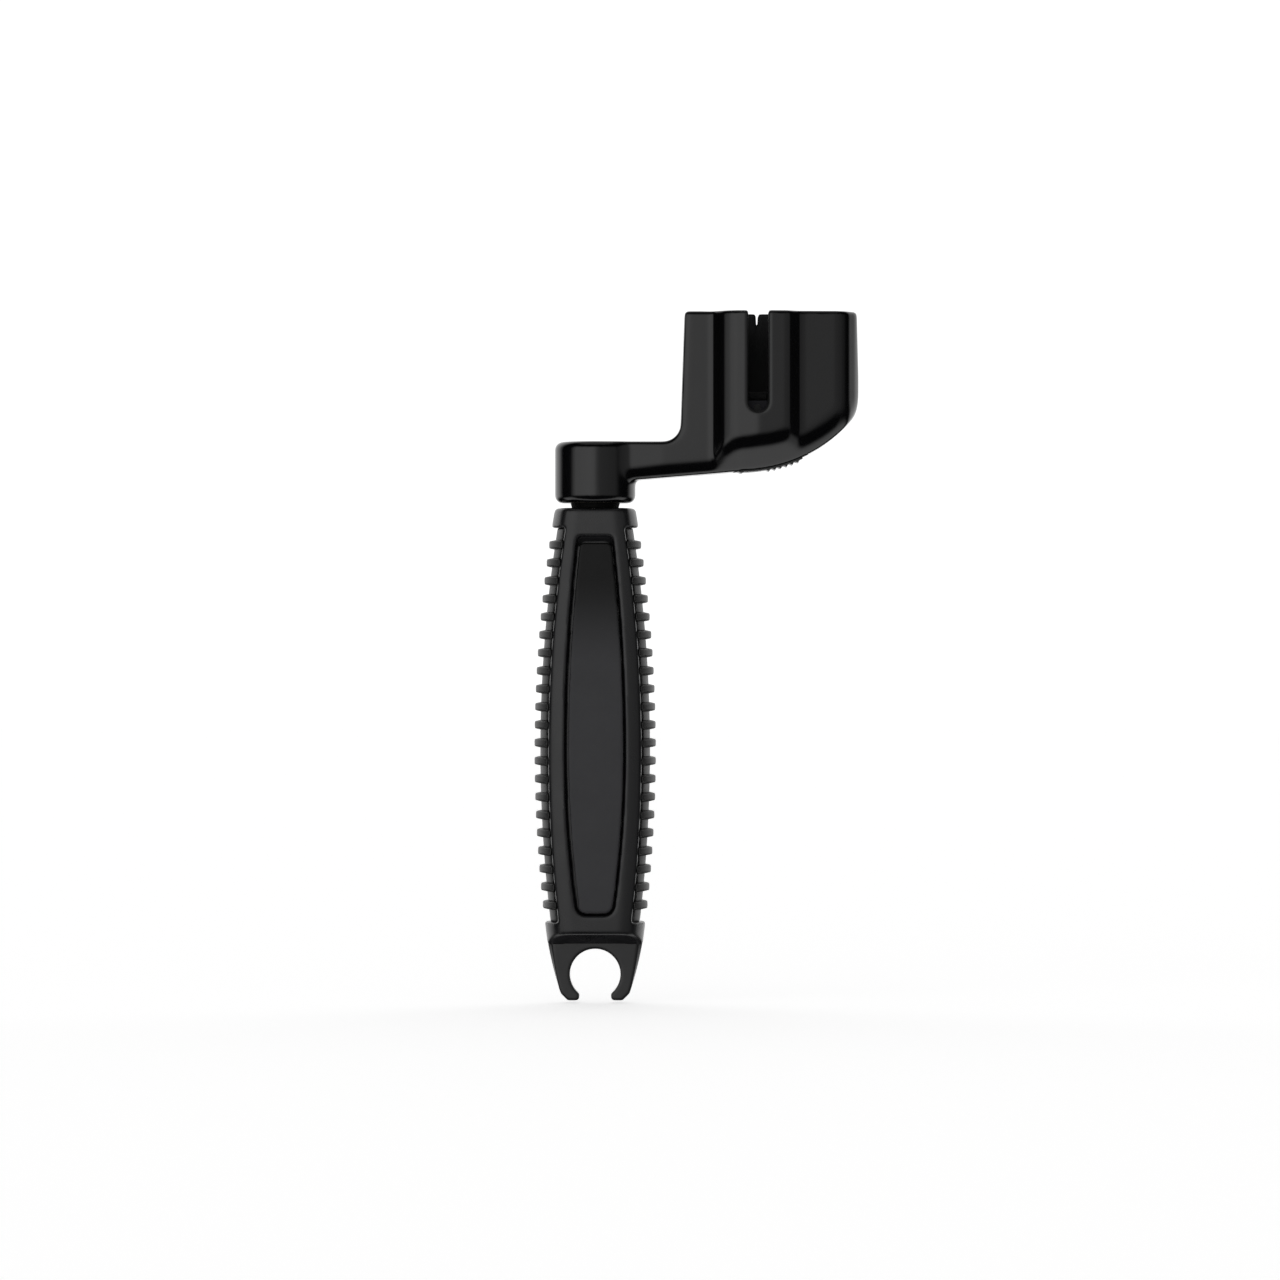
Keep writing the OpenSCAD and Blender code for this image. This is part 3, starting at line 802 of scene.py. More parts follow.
    def string_way(self, v: Volume | Spots) -> np.ndarray:
        """Draws the string's way out, which slopes up through the back wall.

        Args:
            v: the grid or the places.

        Returns:
            The distances, negative inside.
        """
        low, top = self.arm_z + self.way_low, self.arm_z + self.way_high
        rise = self.way_rise * (self.outside - self.room_half_d)
        outline = [
            (0.0, low), (self.room_half_d, low + self.way_step),
            (self.outside, low + self.way_step + rise), (self.outside, top + rise),
            (self.room_half_d, top), (0.0, top),
        ]
        return np.maximum(polygon_distance(v.y, v.z, outline), np.abs(v.x) - self.way_half_w)

    def cutter_room(self, v: Volume) -> np.ndarray:
        """Draws the room for the lever, the blades, the spring, the pin and the spindle.

        Args:
            v: the grid.

        Returns:
            The distances, negative inside.
        """
        d, (left, right), below = self.room_half_d, self.room_x, self.arm_z - 2 * self.outside
        pin_z, top = self.arm_z - self.pin_drop, self.arm_z + self.way_high
        return joined(
            v.box((left, -d, below), (right, d, self.arm_z + self.room_h)),
            v.rod_y(self.pin_x, pin_z, self.eye_r, -d, d),
            v.box((self.pin_x, -d, pin_z - self.eye_r), (left + 1, d, pin_z + self.eye_r)),
            v.box((left, self.slot_y, self.arm_z + self.room_h - 1), (self.blades_x, d, top)),
            self.string_way(v),
            v.rod_z(self.spring_x, 0, self.spring_r, self.arm_z, self.arm_z + self.spring_h),
            v.rod_y(self.pin_x, pin_z, self.pin_r, self.pin_front, self.outside),
            v.rod_z(-self.throw, 0, self.spindle_r, self.hub_z - 1, self.hub_z + self.spindle_h),
        )

    def build(self) -> None:
        """Carves the moulding and puts it in place."""
        v = Volume((-48, -12.4, -45), (24.4, 12.4, 1), self.cell)
        sides, keel = np.maximum(self.plan(v), self.front(v)), self.keel(v)
        # The edge between the faces and the keel's bevel is rounder than the rest.
        body = np.maximum(sides, keel) + easing(sides, keel, self.keel_edge)
        body = v.softened(body, self.edge)
        hub = v.full(self.hub(v))
        body = np.minimum(body, hub) - easing(body, hub, self.hub_fillet)
        # The fillet may not raise the flat top that hub and arm share.
        above = np.maximum(v.x + self.throw - self.hub_r - 4, self.arm_z - v.z)
        body = shared(body, -v.full(above), -v.full(self.cuts(v)), -v.full(self.cutter_room(v)))
        piece = v.mesh(v.softened(body, self.cut_edge), "crank_moulding")
        self.mark_cavity(piece)
        place(piece, "crank", GLOSS_ABS, "crank_plastic", "crank_arm")

    def mark_cavity(self, piece: bpy.types.Object) -> None:
        """Marks the walls of the cuts, so that the finish can leave them dull.

        Args:
            piece: the moulding.
        """
        flat = np.empty(len(piece.data.vertices) * 3)
        piece.data.vertices.foreach_get("co", flat)
        spots = Spots(*(flat.reshape(-1, 3) / MM).T)
        inner = np.minimum(self.cuts(spots), self.string_way(spots))
        share = np.clip((self.dull_reach - inner) / self.dull_run, 0, 1)
        share[spots.z > -self.rim_h] = 0
        mark = piece.data.attributes.new("cavity", "FLOAT", "POINT")
        mark.data.foreach_set("value", share.astype(np.float32))


# ---- Handle ----


@dataclass
class Handle:
    """The two shells, the sunk panels and the fork, all round the spindle's axis."""

    axis_x: float = -37.3
    top_z: float = -45.05
    half_w: float = 13.96
    half_d: float = 9.75
    belly: float = -55.5
    barrel_r: float = 330.0
    depth_r: float = 900.0
    side_r: float = 12.45
    ridge: float = 1.7
    strip_w: float = 3.26
    strip_top: float = -4.5
    strip_end: float = -94.9
    face_end: float = -97.5
    shell_end: float = -100.15
    panel_half_w: float = 6.95
    panel_top: float = -6.45
    panel_end: float = -93.3
    panel_flanks: tuple[float, float] = (420.0, 265.0)
    panel_corners: tuple[float, float] = (1.0, 2.2)
    panel_t: float = 0.8
    recess: float = 1.6
    # Width of the groove round the panel at its left, right, top and lower end.
    groove_left: float = 0.85
    groove_right: float = 0.45
    groove_top: float = 1.5
    groove_low: float = 0.55
    # Depth of the groove's floor at the top, how it leans there, and its depth below the seat elsewhere.
    floor_top: float = 1.0
    floor_lean: float = 0.6
    floor_extra: float = 0.9
    undercut: float = 0.5
    bore_r: float = 4.6
    bore_end: float = -40.0
    collar_seat_r: float = 6.2
    ring_room_r: float = 5.4
    ring_room: tuple[float, float] = (-44.05, -39.9)
    screws: tuple[float, ...] = (-47.65, -67.9, -88.15)
    screw_seat_r: float = 2.4
    screw_seat_y: float = 5.9
    screw_hole_r: float = 1.3
    fork_t: float = 3.5
    notch_r: float = 5.8
    notch_drop: float = 6.85
    notch_half_open: float = 3.63
    tip_half_w: float = 7.9
    tip_drop: float = 0.25
    tip_corner: float = 1.6
    flank_r: float = 80.0
    nose_r: float = 0.78
    bevel: float = 1.1
    bevel_start: float = 3.0
    tang_half_w: float = 7.0
    tang_top: float = -82.15
    gap: float = 0.1
    # Edge radii, from the rounded outside to the crisp seats of the panels and grips.
    edge: float = 0.4
    parting_edge: float = 0.2
    fork_edge: float = 0.2
    seat_edge: float = 0.16
    strip_edge: float = 0.14
    cell: float = 0.34
    panel_cell: float = 0.26
    fork_cell: float = 0.24

    @property
    def frame_half_w(self) -> float:
        """Half width of the frame, between the ribbed grips."""
        return self.half_w - self.strip_w

    def volume(self, low: Corner, high: Corner, cell: float) -> Volume:
        """A volume whose corners are given from the centre of the handle's top."""
        shift = (self.axis_x, 0, self.top_z)
        return Volume(tuple(np.add(low, shift)), tuple(np.add(high, shift)), cell)

    def local(self, v: Volume) -> tuple[np.ndarray, np.ndarray, np.ndarray]:
        """The grid seen from the centre of the handle's top."""
        return v.x - self.axis_x, v.y, v.z - self.top_z

    def width_sag(self, z: np.ndarray | float) -> np.ndarray:
        """How far the outline has drawn in at height z, seen from the front."""
        return self.barrel_r - np.sqrt(self.barrel_r**2 - (z - self.belly) ** 2)

    def depth_sag(self, z: np.ndarray | float) -> np.ndarray:
        """How far the outline has drawn in at height z, seen from the side."""
        return self.depth_r - np.sqrt(self.depth_r**2 - (z - self.belly) ** 2)

    def flank(self, v: Volume) -> np.ndarray:
        """Distance out from the line between the frame and the ribbed grips."""
        x, _, z = self.local(v)
        return np.abs(x) + self.width_sag(z) - self.frame_half_w

    def round_sides(self, v: Volume, inset: float) -> np.ndarray:
        """Draws both rounded sides.

        Args:
            v: the grid.
            inset: how deep below the outside.

        Returns:
            The distances, negative inside.
        """
        x, y, z = self.local(v)
        out = np.maximum(np.abs(x) + self.width_sag(z) - (self.half_w - self.side_r), 0)
        return np.hypot(out, y) - (self.side_r - inset)

    def slab(self, v: Volume, inset: float) -> np.ndarray:
        """The space between the curved front and back, sunk by inset."""
        _, y, z = self.local(v)
        return np.abs(y) + self.depth_sag(z) - (self.half_d - inset)

    def panel(self, v: Volume) -> np.ndarray:
        """Draws the panel's seat as seen from the front.

        Args:
            v: the grid.

        Returns:
            The distances, negative inside.
        """
        x, _, z = self.local(v)
        upper, across = z > self.belly, np.abs(x)
        flanks = [
            np.hypot(across + r - self.panel_half_w, z - self.belly) - r for r in self.panel_flanks
        ]
        sides = np.where(upper, *flanks)
        ends = np.maximum(z - self.panel_top, self.panel_end - z)
        corner = np.where(upper, *self.panel_corners)
        return corner_distance(sides + corner, ends + corner) - corner

    def margin(self, v: Volume) -> np.ndarray:
        """Works out how wide the dark groove round the panel is.

        Args:
            v: the grid.

        Returns:
            The width at each place.
        """
        x, _, z = self.local(v)
        sides = np.where(x < 0, self.groove_left, self.groove_right)
        low = np.clip((self.panel_end + 3.5 - z) / 2, 0, 1)
        high = np.clip((z - self.panel_top + 2.0) / 0.5, 0, 1)
        return sides + (self.groove_low - sides) * low + (self.groove_top - sides) * high

    def seat(self, v: Volume) -> np.ndarray:
        """Draws the panel's seat, deeper along its edge, where the groove round the panel is.

        Args:
            v: the grid.

        Returns:
            The distances, negative inside.
        """
        rim, deep = self.panel(v), -self.slab(v, 0)
        below_top = self.panel_top - self.local(v)[2]
        pocket = shared(rim, self.groove_top - self.gap - below_top, deep - self.recess)
        # At the top the groove's floor leans back under the edge, elsewhere it is flat and deeper.
        leaning = self.floor_top + self.floor_lean * np.clip(below_top, 0, 3)
        near_top = below_top < self.groove_top + 0.6
        floor = np.where(near_top, leaning, self.recess + self.floor_extra)
        return joined(pocket, shared(rim, -rim - self.margin(v) - self.undercut, deep - floor))

    def build_shell(self, side: Side) -> None:
        """Carves one shell, with its seat for the panel, its bores and its screw holes.

        Args:
            side: front or rear.
        """
        near, far = side.reach(10.6, -0.6)
        v = self.volume((-15.2, near, -101.4), (15.2, far, 1.2), self.cell)
        _, y, z = self.local(v)
        # The lower end slopes from the face in to the fork.
        deep = self.half_d - float(self.depth_sag(self.face_end))
        run = math.atan2(self.face_end - self.shell_end, deep - self.fork_t / 2)
        slope = (self.face_end - z) * math.cos(run) + (np.abs(y) - deep) * math.sin(run)
        # The ridge between the front and the sides is rounder than the other edges.
        sides, slab = self.round_sides(v, 0), self.slab(v, 0)
        body = np.maximum(np.maximum(sides, slab) + easing(sides, slab, self.ridge), z)
        body = np.maximum(v.softened(body, self.edge), np.maximum(slope, self.shell_end - z))
        strip = shared(-self.flank(v), z - self.strip_top, self.strip_end - z)
        body = v.softened(np.maximum(body, -strip), self.strip_edge)
        body = v.softened(np.maximum(body, -self.seat(v)), self.seat_edge)
        x0, z0, slot_y = self.axis_x, self.top_z, self.fork_t / 2
        left, right = x0 - self.tang_half_w, x0 + self.tang_half_w
        room_low, room_high = self.ring_room
        holes = [
            v.rod_z(x0, 0, self.bore_r, z0 + self.bore_end, z0 + 1),
            v.rod_z(x0, 0, self.collar_seat_r, z0 - 1, z0 + 1),
            v.rod_z(x0, 0, self.ring_room_r, z0 + room_low, z0 + room_high),
            v.box((left, -slot_y, z0 - 102), (right, slot_y, z0 + self.tang_top)),
        ]
        if side is Side.REAR:
            holes += [v.rod_y(x0, z0 + h, self.screw_seat_r, self.screw_seat_y, 20) for h in self.screws]
        body = shared(body, -v.full(joined(*holes)), -side.sign * y)
        piece = v.mesh(v.softened(body, self.parting_edge), f"{side.word}_shell")
        place(piece, "handle", SATIN_ABS, "frame_plastic", f"handle_{side.word}_shell")

    def build_panel(self, side: Side) -> None:
        """Carves one sunk panel.

        Args:
            side: front or rear.
        """
        near, far = side.reach(9.6, 5.2)
        v = self.volume((-7.6, near, -94), (7.6, far, -5.8), self.panel_cell)
        layer = np.maximum(self.slab(v, self.recess - self.panel_t), -self.slab(v, self.recess - 0.05))
        body = v.softened(np.maximum(layer, self.panel(v) + self.margin(v)), self.seat_edge)
        piece = v.mesh(body, f"{side.word}_sunk_panel")
        place(piece, "handle", PANEL_ABS, "panel_plastic", f"{side.word}_panel")

    def fork_outline(self, v: Volume, end_z: float) -> tuple[np.ndarray, np.ndarray]:
        """Draws the fork and its tang as seen from the front.

        Args:
            v: the grid.
            end_z: height of the tips, from the handle's top.

        Returns:
            The distances, negative inside, and those of the curved flanks alone.
        """
        x, _, z = self.local(v)
        across, nose_x = np.abs(x), self.notch_half_open + self.nose_r
        wide = self.half_w - float(self.width_sag(self.shell_end))
        # Each flank is an arc of radius flank_r from the shells' edge to the corner of the tip.
        top, tip = np.array([wide, self.shell_end]), np.array([self.tip_half_w, end_z + self.tip_corner])
        chord = top - tip
        square = np.array([-chord[1], chord[0]]) / math.hypot(*chord)
        centre = (top + tip) / 2 + math.sqrt(self.flank_r**2 - (chord @ chord) / 4) * square
        flank = np.hypot(across - centre[0], z - centre[1]) - self.flank_r
        corner = (across - z - (self.tip_half_w - end_z - self.tip_corner)) / math.sqrt(2)
        notch_z = self.shell_end - self.notch_drop
        notch = np.hypot(x, z - notch_z) - self.notch_r
        mouth = np.maximum(across - nose_x, z - end_z - self.nose_r)
        throat = np.maximum(across - self.notch_half_open, z - notch_z)
        blade = shared(flank, corner, z - self.shell_end - 1, end_z - z, -notch, -mouth, -throat)
        nose = np.hypot(across - nose_x, z - end_z - self.nose_r) - self.nose_r
        tang_end = np.maximum(z - self.tang_top + self.gap, self.shell_end - 0.3 - z)
        tang = np.maximum(across - self.tang_half_w + self.gap, tang_end)
        return joined(blade, nose, tang), flank

    def build_fork(self) -> None:
        """Carves the fork and its tang."""
        v = self.volume((-12.4, -2.6, -114), (12.4, 2.6, -81), self.fork_cell)
        _, y, z = self.local(v)
        end_z = self.shell_end - self.notch_drop - self.notch_r - self.tip_drop
        outline, flank = self.fork_outline(v, end_z)
        body = np.maximum(outline, np.abs(y) - self.fork_t / 2)
        # The sides are bevelled from both faces, widely at the shells and not at all at the tips.
        start = end_z + self.bevel_start
        width = self.bevel * np.clip((z - start) / (self.shell_end - start), 0, 1)
        bevel = flank + width * np.abs(y) / (self.fork_t / 2)
        body = v.softened(np.maximum(body, bevel), self.fork_edge)
        hole = v.rod_y(self.axis_x, self.top_z + self.screws[-1], self.screw_hole_r, -9, 9)
        piece = v.mesh(np.maximum(body, -hole), "bridge_pin_fork")
        place(piece, "handle", FORK_NYLON, "fork_plastic", "pin_puller")

    def build(self) -> None:
        """Builds the shells, the panels and the fork."""
        for side in (Side.FRONT, Side.REAR):
            self.build_shell(side)
            self.build_panel(side)
        self.build_fork()


# ---- Repeated pieces, with Geometry Nodes ----


class RowTree:
    """A Geometry Nodes tree whose sizes are named inputs and whose result is realised and dressed."""

    def __init__(self, name: str) -> None:
        """Starts the tree with its base geometry input.

        Args:
            name: the tree's name.
        """
        self.tree = bpy.data.node_groups.new(name, "GeometryNodeTree")
        for way in ("INPUT", "OUTPUT"):
            self.tree.interface.new_socket("Geometry", in_out=way, socket_type="NodeSocketGeometry")
        self.values: dict[str, object] = {}
        self.ids: dict[str, str] = {}
        self.inputs = self.tree.nodes.new("NodeGroupInput")

    def size(self, name: str, value: float | int | bpy.types.Object) -> bpy.types.NodeSocket:
        """Adds a named input.

        Args:
            name: the input's name.
            value: its value, or the object that is repeated.

        Returns:
            Its socket inside the tree.
        """
        kind = {float: "NodeSocketFloat", int: "NodeSocketInt"}.get(type(value), "NodeSocketObject")
        made = self.tree.interface.new_socket(name, in_out="INPUT", socket_type=kind)
        self.values[name], self.ids[name] = value, made.identifier
        return self.inputs.outputs[name]

    def column(
        self, count: int, pitch: float, first: float, spot: dict, shape: bpy.types.Object,
        sums: tuple = (), known: dict | None = None,
    ) -> bpy.types.NodeSocket:
        """Sets copies of a shape one below the other.

        Args:
            count: how many.
            pitch: distance from one to the next.
            first: height of the first.
            spot: the place of each, as values or names of sums for X, Y and Z.
            shape: the shape that is repeated.
            sums: more sums on the height, each its name, its operation and two terms.
            known: sockets that the sums use by name.

        Returns:
            The socket with all the copies.
        """
        number = add_node(self.tree, "GeometryNodeInputIndex").outputs[0]
        found = {"number": number, "pitch": self.size("pitch", pitch), **(known or {})}
        found["first"] = self.size("first height", first)
        steps = (("drop", "MULTIPLY", "number", "pitch"), ("height", "SUBTRACT", "first", "drop"), *sums)
        for name, operation, *terms in steps:
            terms = {socket: found.get(term, term) for socket, term in enumerate(terms)}
            found[name] = add_node(self.tree, "ShaderNodeMath", {"operation": operation}, terms).outputs[0]
        spot = {axis: found.get(term, term) for axis, term in spot.items()}
        position = add_node(self.tree, "ShaderNodeCombineXYZ", inputs=spot).outputs[0]
        points = add_node(
            self.tree, "GeometryNodePoints",
            inputs={"Count": self.size("count", count), "Position": position},
        )
        part = add_node(self.tree, "GeometryNodeObjectInfo", inputs={"Object": self.size("shape", shape)})
        copies = add_node(
            self.tree, "GeometryNodeInstanceOnPoints",
            inputs={"Points": points.outputs[0], "Instance": part.outputs["Geometry"]},
        )
        return copies.outputs[0]

    def run(
        self, geometry: bpy.types.NodeSocket, finish: Moulded | Steel, name: str,
        base: bpy.types.Object | None = None,
    ) -> bpy.types.Object:
        """Ends the tree, runs it on a base object and returns the result as a plain mesh.

        Args:
            geometry: the socket with what the tree has made.
            finish: the finish whose material it gets.
            name: the new object's name.
            base: the object that carries the modifier, an empty mesh if none; it is removed afterwards.

        Returns:
            The plain mesh object.
        """
        real = add_node(self.tree, "GeometryNodeRealizeInstances", inputs={0: geometry})
        dressed = add_node(
            self.tree, "GeometryNodeSetMaterial",
            inputs={"Geometry": real.outputs[0], "Material": material_of(finish)},
        )
        add_node(self.tree, "NodeGroupOutput", inputs={0: dressed.outputs[0]})
        base = base or add_object("row_base", bpy.data.meshes.new("row_base"))
        modifier = base.modifiers.new("rows", "NODES")
        modifier.node_group = self.tree
        for key, value in self.values.items():
            modifier[self.ids[key]] = value
        bpy.context.view_layer.update()
        graph = bpy.context.evaluated_depsgraph_get()
        mesh = bpy.data.meshes.new_from_object(base.evaluated_get(graph), depsgraph=graph)
        base.modifiers.remove(modifier)
        bpy.data.objects.remove(base)
        mesh.name = name
        return add_object(name, mesh)


@dataclass
class Grips:
    """The ribbed strips along both sides of the handle."""

    handle: Handle
    count: int = 21
    pitch: float = 4.13
    depth: float = 1.35
    root: float = 2.2
    tip: float = 1.6
    rib_half_d: float = 8.35
    rib_edge: float = 0.12
    floor_edge: float = 0.16
    floor_inset: float = 0.3
    gap: float = 0.02
    cell: float = 0.34
    rib_cell: float = 0.26

    def strip(self, side: Side) -> bpy.types.Object:
        """Carves the strip's floor, between the ribs.

        Args:
            side: left or right.

        Returns:
            The strip.
        """
        h = self.handle
        near, far = side.reach(5.2, 14.6)
        v = h.volume((near, -9.6, h.strip_end - 0.6), (far, 9.6, h.strip_top + 0.6), self.cell)
        z = h.local(v)[2]
        ends = np.maximum(z - h.strip_top + self.gap, h.strip_end + self.gap - z)
        body = shared(h.round_sides(v, self.depth), h.slab(v, self.floor_inset), -h.flank(v), ends)
        return v.mesh(v.softened(body, self.floor_edge), f"grip_strip_{side.word}")

    def rib(self, side: Side) -> bpy.types.Object:
        """Carves one rib as it stands at the handle's widest place, thinner towards its tip.

        Args:
            side: left or right.

        Returns:
            The rib, at height 0.
        """
        h = self.handle
        near, far = side.reach(9.9, 14.6)
        v = Volume((near, -9.2, -1.8), (far, 9.2, 1.8), self.rib_cell)
        out = np.hypot(np.maximum(side.sign * v.x - (h.half_w - h.side_r), 0), v.y)
        rise = np.clip((out - (h.side_r - self.depth)) / self.depth, -1, 1)
        thick = (self.root + (self.tip - self.root) * rise) / 2
        ends = np.maximum(h.frame_half_w - side.sign * v.x, np.abs(v.y) - self.rib_half_d)
        body = shared(out - h.side_r, np.abs(v.z) - thick, ends)
        return v.mesh(v.softened(body, self.rib_edge), f"grip_rib_{side.word}")

    def build(self) -> None:
        """Sets the ribs along each strip and puts the grips in place."""
        h = self.handle
        first = (h.strip_top + h.strip_end) / 2 * MM + (self.count - 1) / 2 * self.pitch * MM
        for side in (Side.RIGHT, Side.LEFT):
            rib = self.rib(side)
            rows = RowTree(f"ribs_{side.word}")
            known = {
                "belly": rows.size("belly height", h.belly * MM),
                "radius": rows.size("barrel radius", h.barrel_r * MM),
            }
            # Each rib draws in with the barrel: by its radius less the root of radius2 less rise2.
            sums = (
                ("rise", "SUBTRACT", "height", "belly"),
                ("radius2", "MULTIPLY", "radius", "radius"),
                ("rise2", "MULTIPLY", "rise", "rise"),
                ("rest", "SUBTRACT", "radius2", "rise2"),
                ("root", "SQRT", "rest"),
                ("sag", "SUBTRACT", "radius", "root"),
                ("shift", "MULTIPLY", "sag", -side.sign),
                ("x", "ADD", "shift", h.axis_x * MM),
                ("z", "ADD", "height", h.top_z * MM),
            )
            ribs = rows.column(self.count, self.pitch * MM, first, {"X": "x", "Z": "z"}, rib, sums, known)
            both = add_node(rows.tree, "GeometryNodeJoinGeometry")
            for part in (ribs, rows.inputs.outputs["Geometry"]):
                rows.tree.links.new(part, both.inputs[0])
            piece = rows.run(both.outputs[0], GRIP_RUBBER, f"ribbed_grip_{side.word}", self.strip(side))
            bpy.data.objects.remove(rib)
            place(piece, "handle", GRIP_RUBBER, "grip_rubber", f"grip_{side.word}")


@dataclass
class Hardware:
    """Small metal parts: the shell screws and the return spring."""

    handle: Handle
    head_r: float = 2.2
    head_h: float = 1.4
    dome_r: float = 3.0
    cross_half_w: float = 0.32
    cross_half_l: float = 1.1
    cross_floor: float = 0.4
    shank_r: float = 1.1
    thread_depth: float = 0.09
    thread_pitch: float = 0.8
    tip_y: float = -5.6
    screw_edge: float = 0.12
    screw_cell: float = 0.2
    spring_at: tuple[float, float] = (8.6, 0.0)
    spring_low: float = -32.62
    spring_high: float = -22.62
    spring_r: float = 1.35
    wire_r: float = 0.3
    turns: float = 5.0

    def screw(self) -> bpy.types.Object:
        """Carves one pan-head screw with a cross recess.

        Returns:
            The screw, its seat at the origin and its head towards +Y.
        """
        v = Volume((-2.6, -12, -2.6), (2.6, 1.8, 2.6), self.screw_cell)
        across = np.hypot(v.x, v.z)
        dome = np.hypot(across, v.y + self.dome_r - self.head_h) - self.dome_r
        head = shared(across - self.head_r, dome, -v.y, v.y - self.head_h)
        wide, long = self.cross_half_w, self.cross_half_l
        bars = [np.maximum(np.abs(a) - wide, np.abs(b) - long) for a, b in ((v.x, v.z), (v.z, v.x))]
        cross = np.maximum(joined(*bars), self.cross_floor - v.y)
        length = self.handle.screw_seat_y - self.tip_y
        ridge = self.thread_depth * np.cos(2 * math.pi * v.y / self.thread_pitch)
        shank = shared(across - self.shank_r + 0.1 + ridge, -length - v.y, v.y)
        body = np.minimum(np.maximum(head, -cross), shank)
        return v.mesh(v.softened(body, self.screw_edge), "screw_pattern")

    def build_screws(self) -> None:
        """Sets the screws along the back of the handle."""
        h = self.handle
        pattern = self.screw()
        rows = RowTree("shell_screw_row")
        pitch, first = (h.screws[0] - h.screws[1]) * MM, (h.top_z + h.screws[0]) * MM
        spot = {"X": h.axis_x * MM, "Y": h.screw_seat_y * MM, "Z": "height"}
        screws = rows.column(len(h.screws), pitch, first, spot, pattern)
        piece = rows.run(screws, ZINC_STEEL, "shell_screw_set")
        bpy.data.objects.remove(pattern)
        place(piece, "handle", ZINC_STEEL, "zinc_steel", "shell_screws")

    def build_spring(self) -> None:
        """Winds the return spring."""
        rows = RowTree("spring_coil")
        turns = rows.size("turns", self.turns)
        radius = rows.size("mean radius", self.spring_r * MM)
        wire = rows.size("wire radius", self.wire_r * MM)
        height = rows.size("height", (self.spring_high - self.spring_low - 2 * self.wire_r) * MM)
        spiral = add_node(
            rows.tree, "GeometryNodeCurveSpiral",
            inputs={
                "Resolution": 28, "Rotations": turns, "Start Radius": radius, "End Radius": radius,
                "Height": height,
            },
        )
        ring = add_node(
            rows.tree, "GeometryNodeCurvePrimitiveCircle", inputs={"Resolution": 12, "Radius": wire},
        )
        tube = add_node(
            rows.tree, "GeometryNodeCurveToMesh",
            inputs={"Curve": spiral.outputs[0], "Profile Curve": ring.outputs[0], "Fill Caps": True},
        )
        x, y = (at * MM for at in self.spring_at)
        foot = (x, y, (self.spring_low + self.wire_r) * MM)
        moved = add_node(
            rows.tree, "GeometryNodeTransform", inputs={"Geometry": tube.outputs[0], "Translation": foot},
        )
        smooth = add_node(
            rows.tree, "GeometryNodeSetShadeSmooth", inputs={"Geometry": moved.outputs[0]},
        )
        piece = rows.run(smooth.outputs[0], SPRING_STEEL, "lever_spring")
        dress(piece, SPRING_STEEL)
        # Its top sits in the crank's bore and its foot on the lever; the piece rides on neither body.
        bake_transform(piece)
        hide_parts("return_spring")
        LOG.info("piece %s goes from crank to lever", piece.name)

    def build(self) -> None:
        """Builds the screws and the spring, and dresses the small CAD parts that stay."""
        self.build_screws()
        self.build_spring()
        kept = {
            "spindle": SPINDLE_STEEL, "thrust_washer": SPINDLE_STEEL, "retaining_ring": SPRING_STEEL,
            "fixed_blade": BLADE_BLACK, "moving_blade": BLADE_STEEL, "blade_screws": ZINC_STEEL,
            "blade_rivets": ZINC_STEEL, "pivot_pin": SPINDLE_STEEL, "cutter_lever": LEVER_ABS,
            "neck_collar": COLLAR_ACETAL, "upper_bush": BUSH_ACETAL, "lower_bush": BUSH_ACETAL,
        }
        for node, finish in kept.items():
            dress_cad(node, finish)


# ---- Studio ----


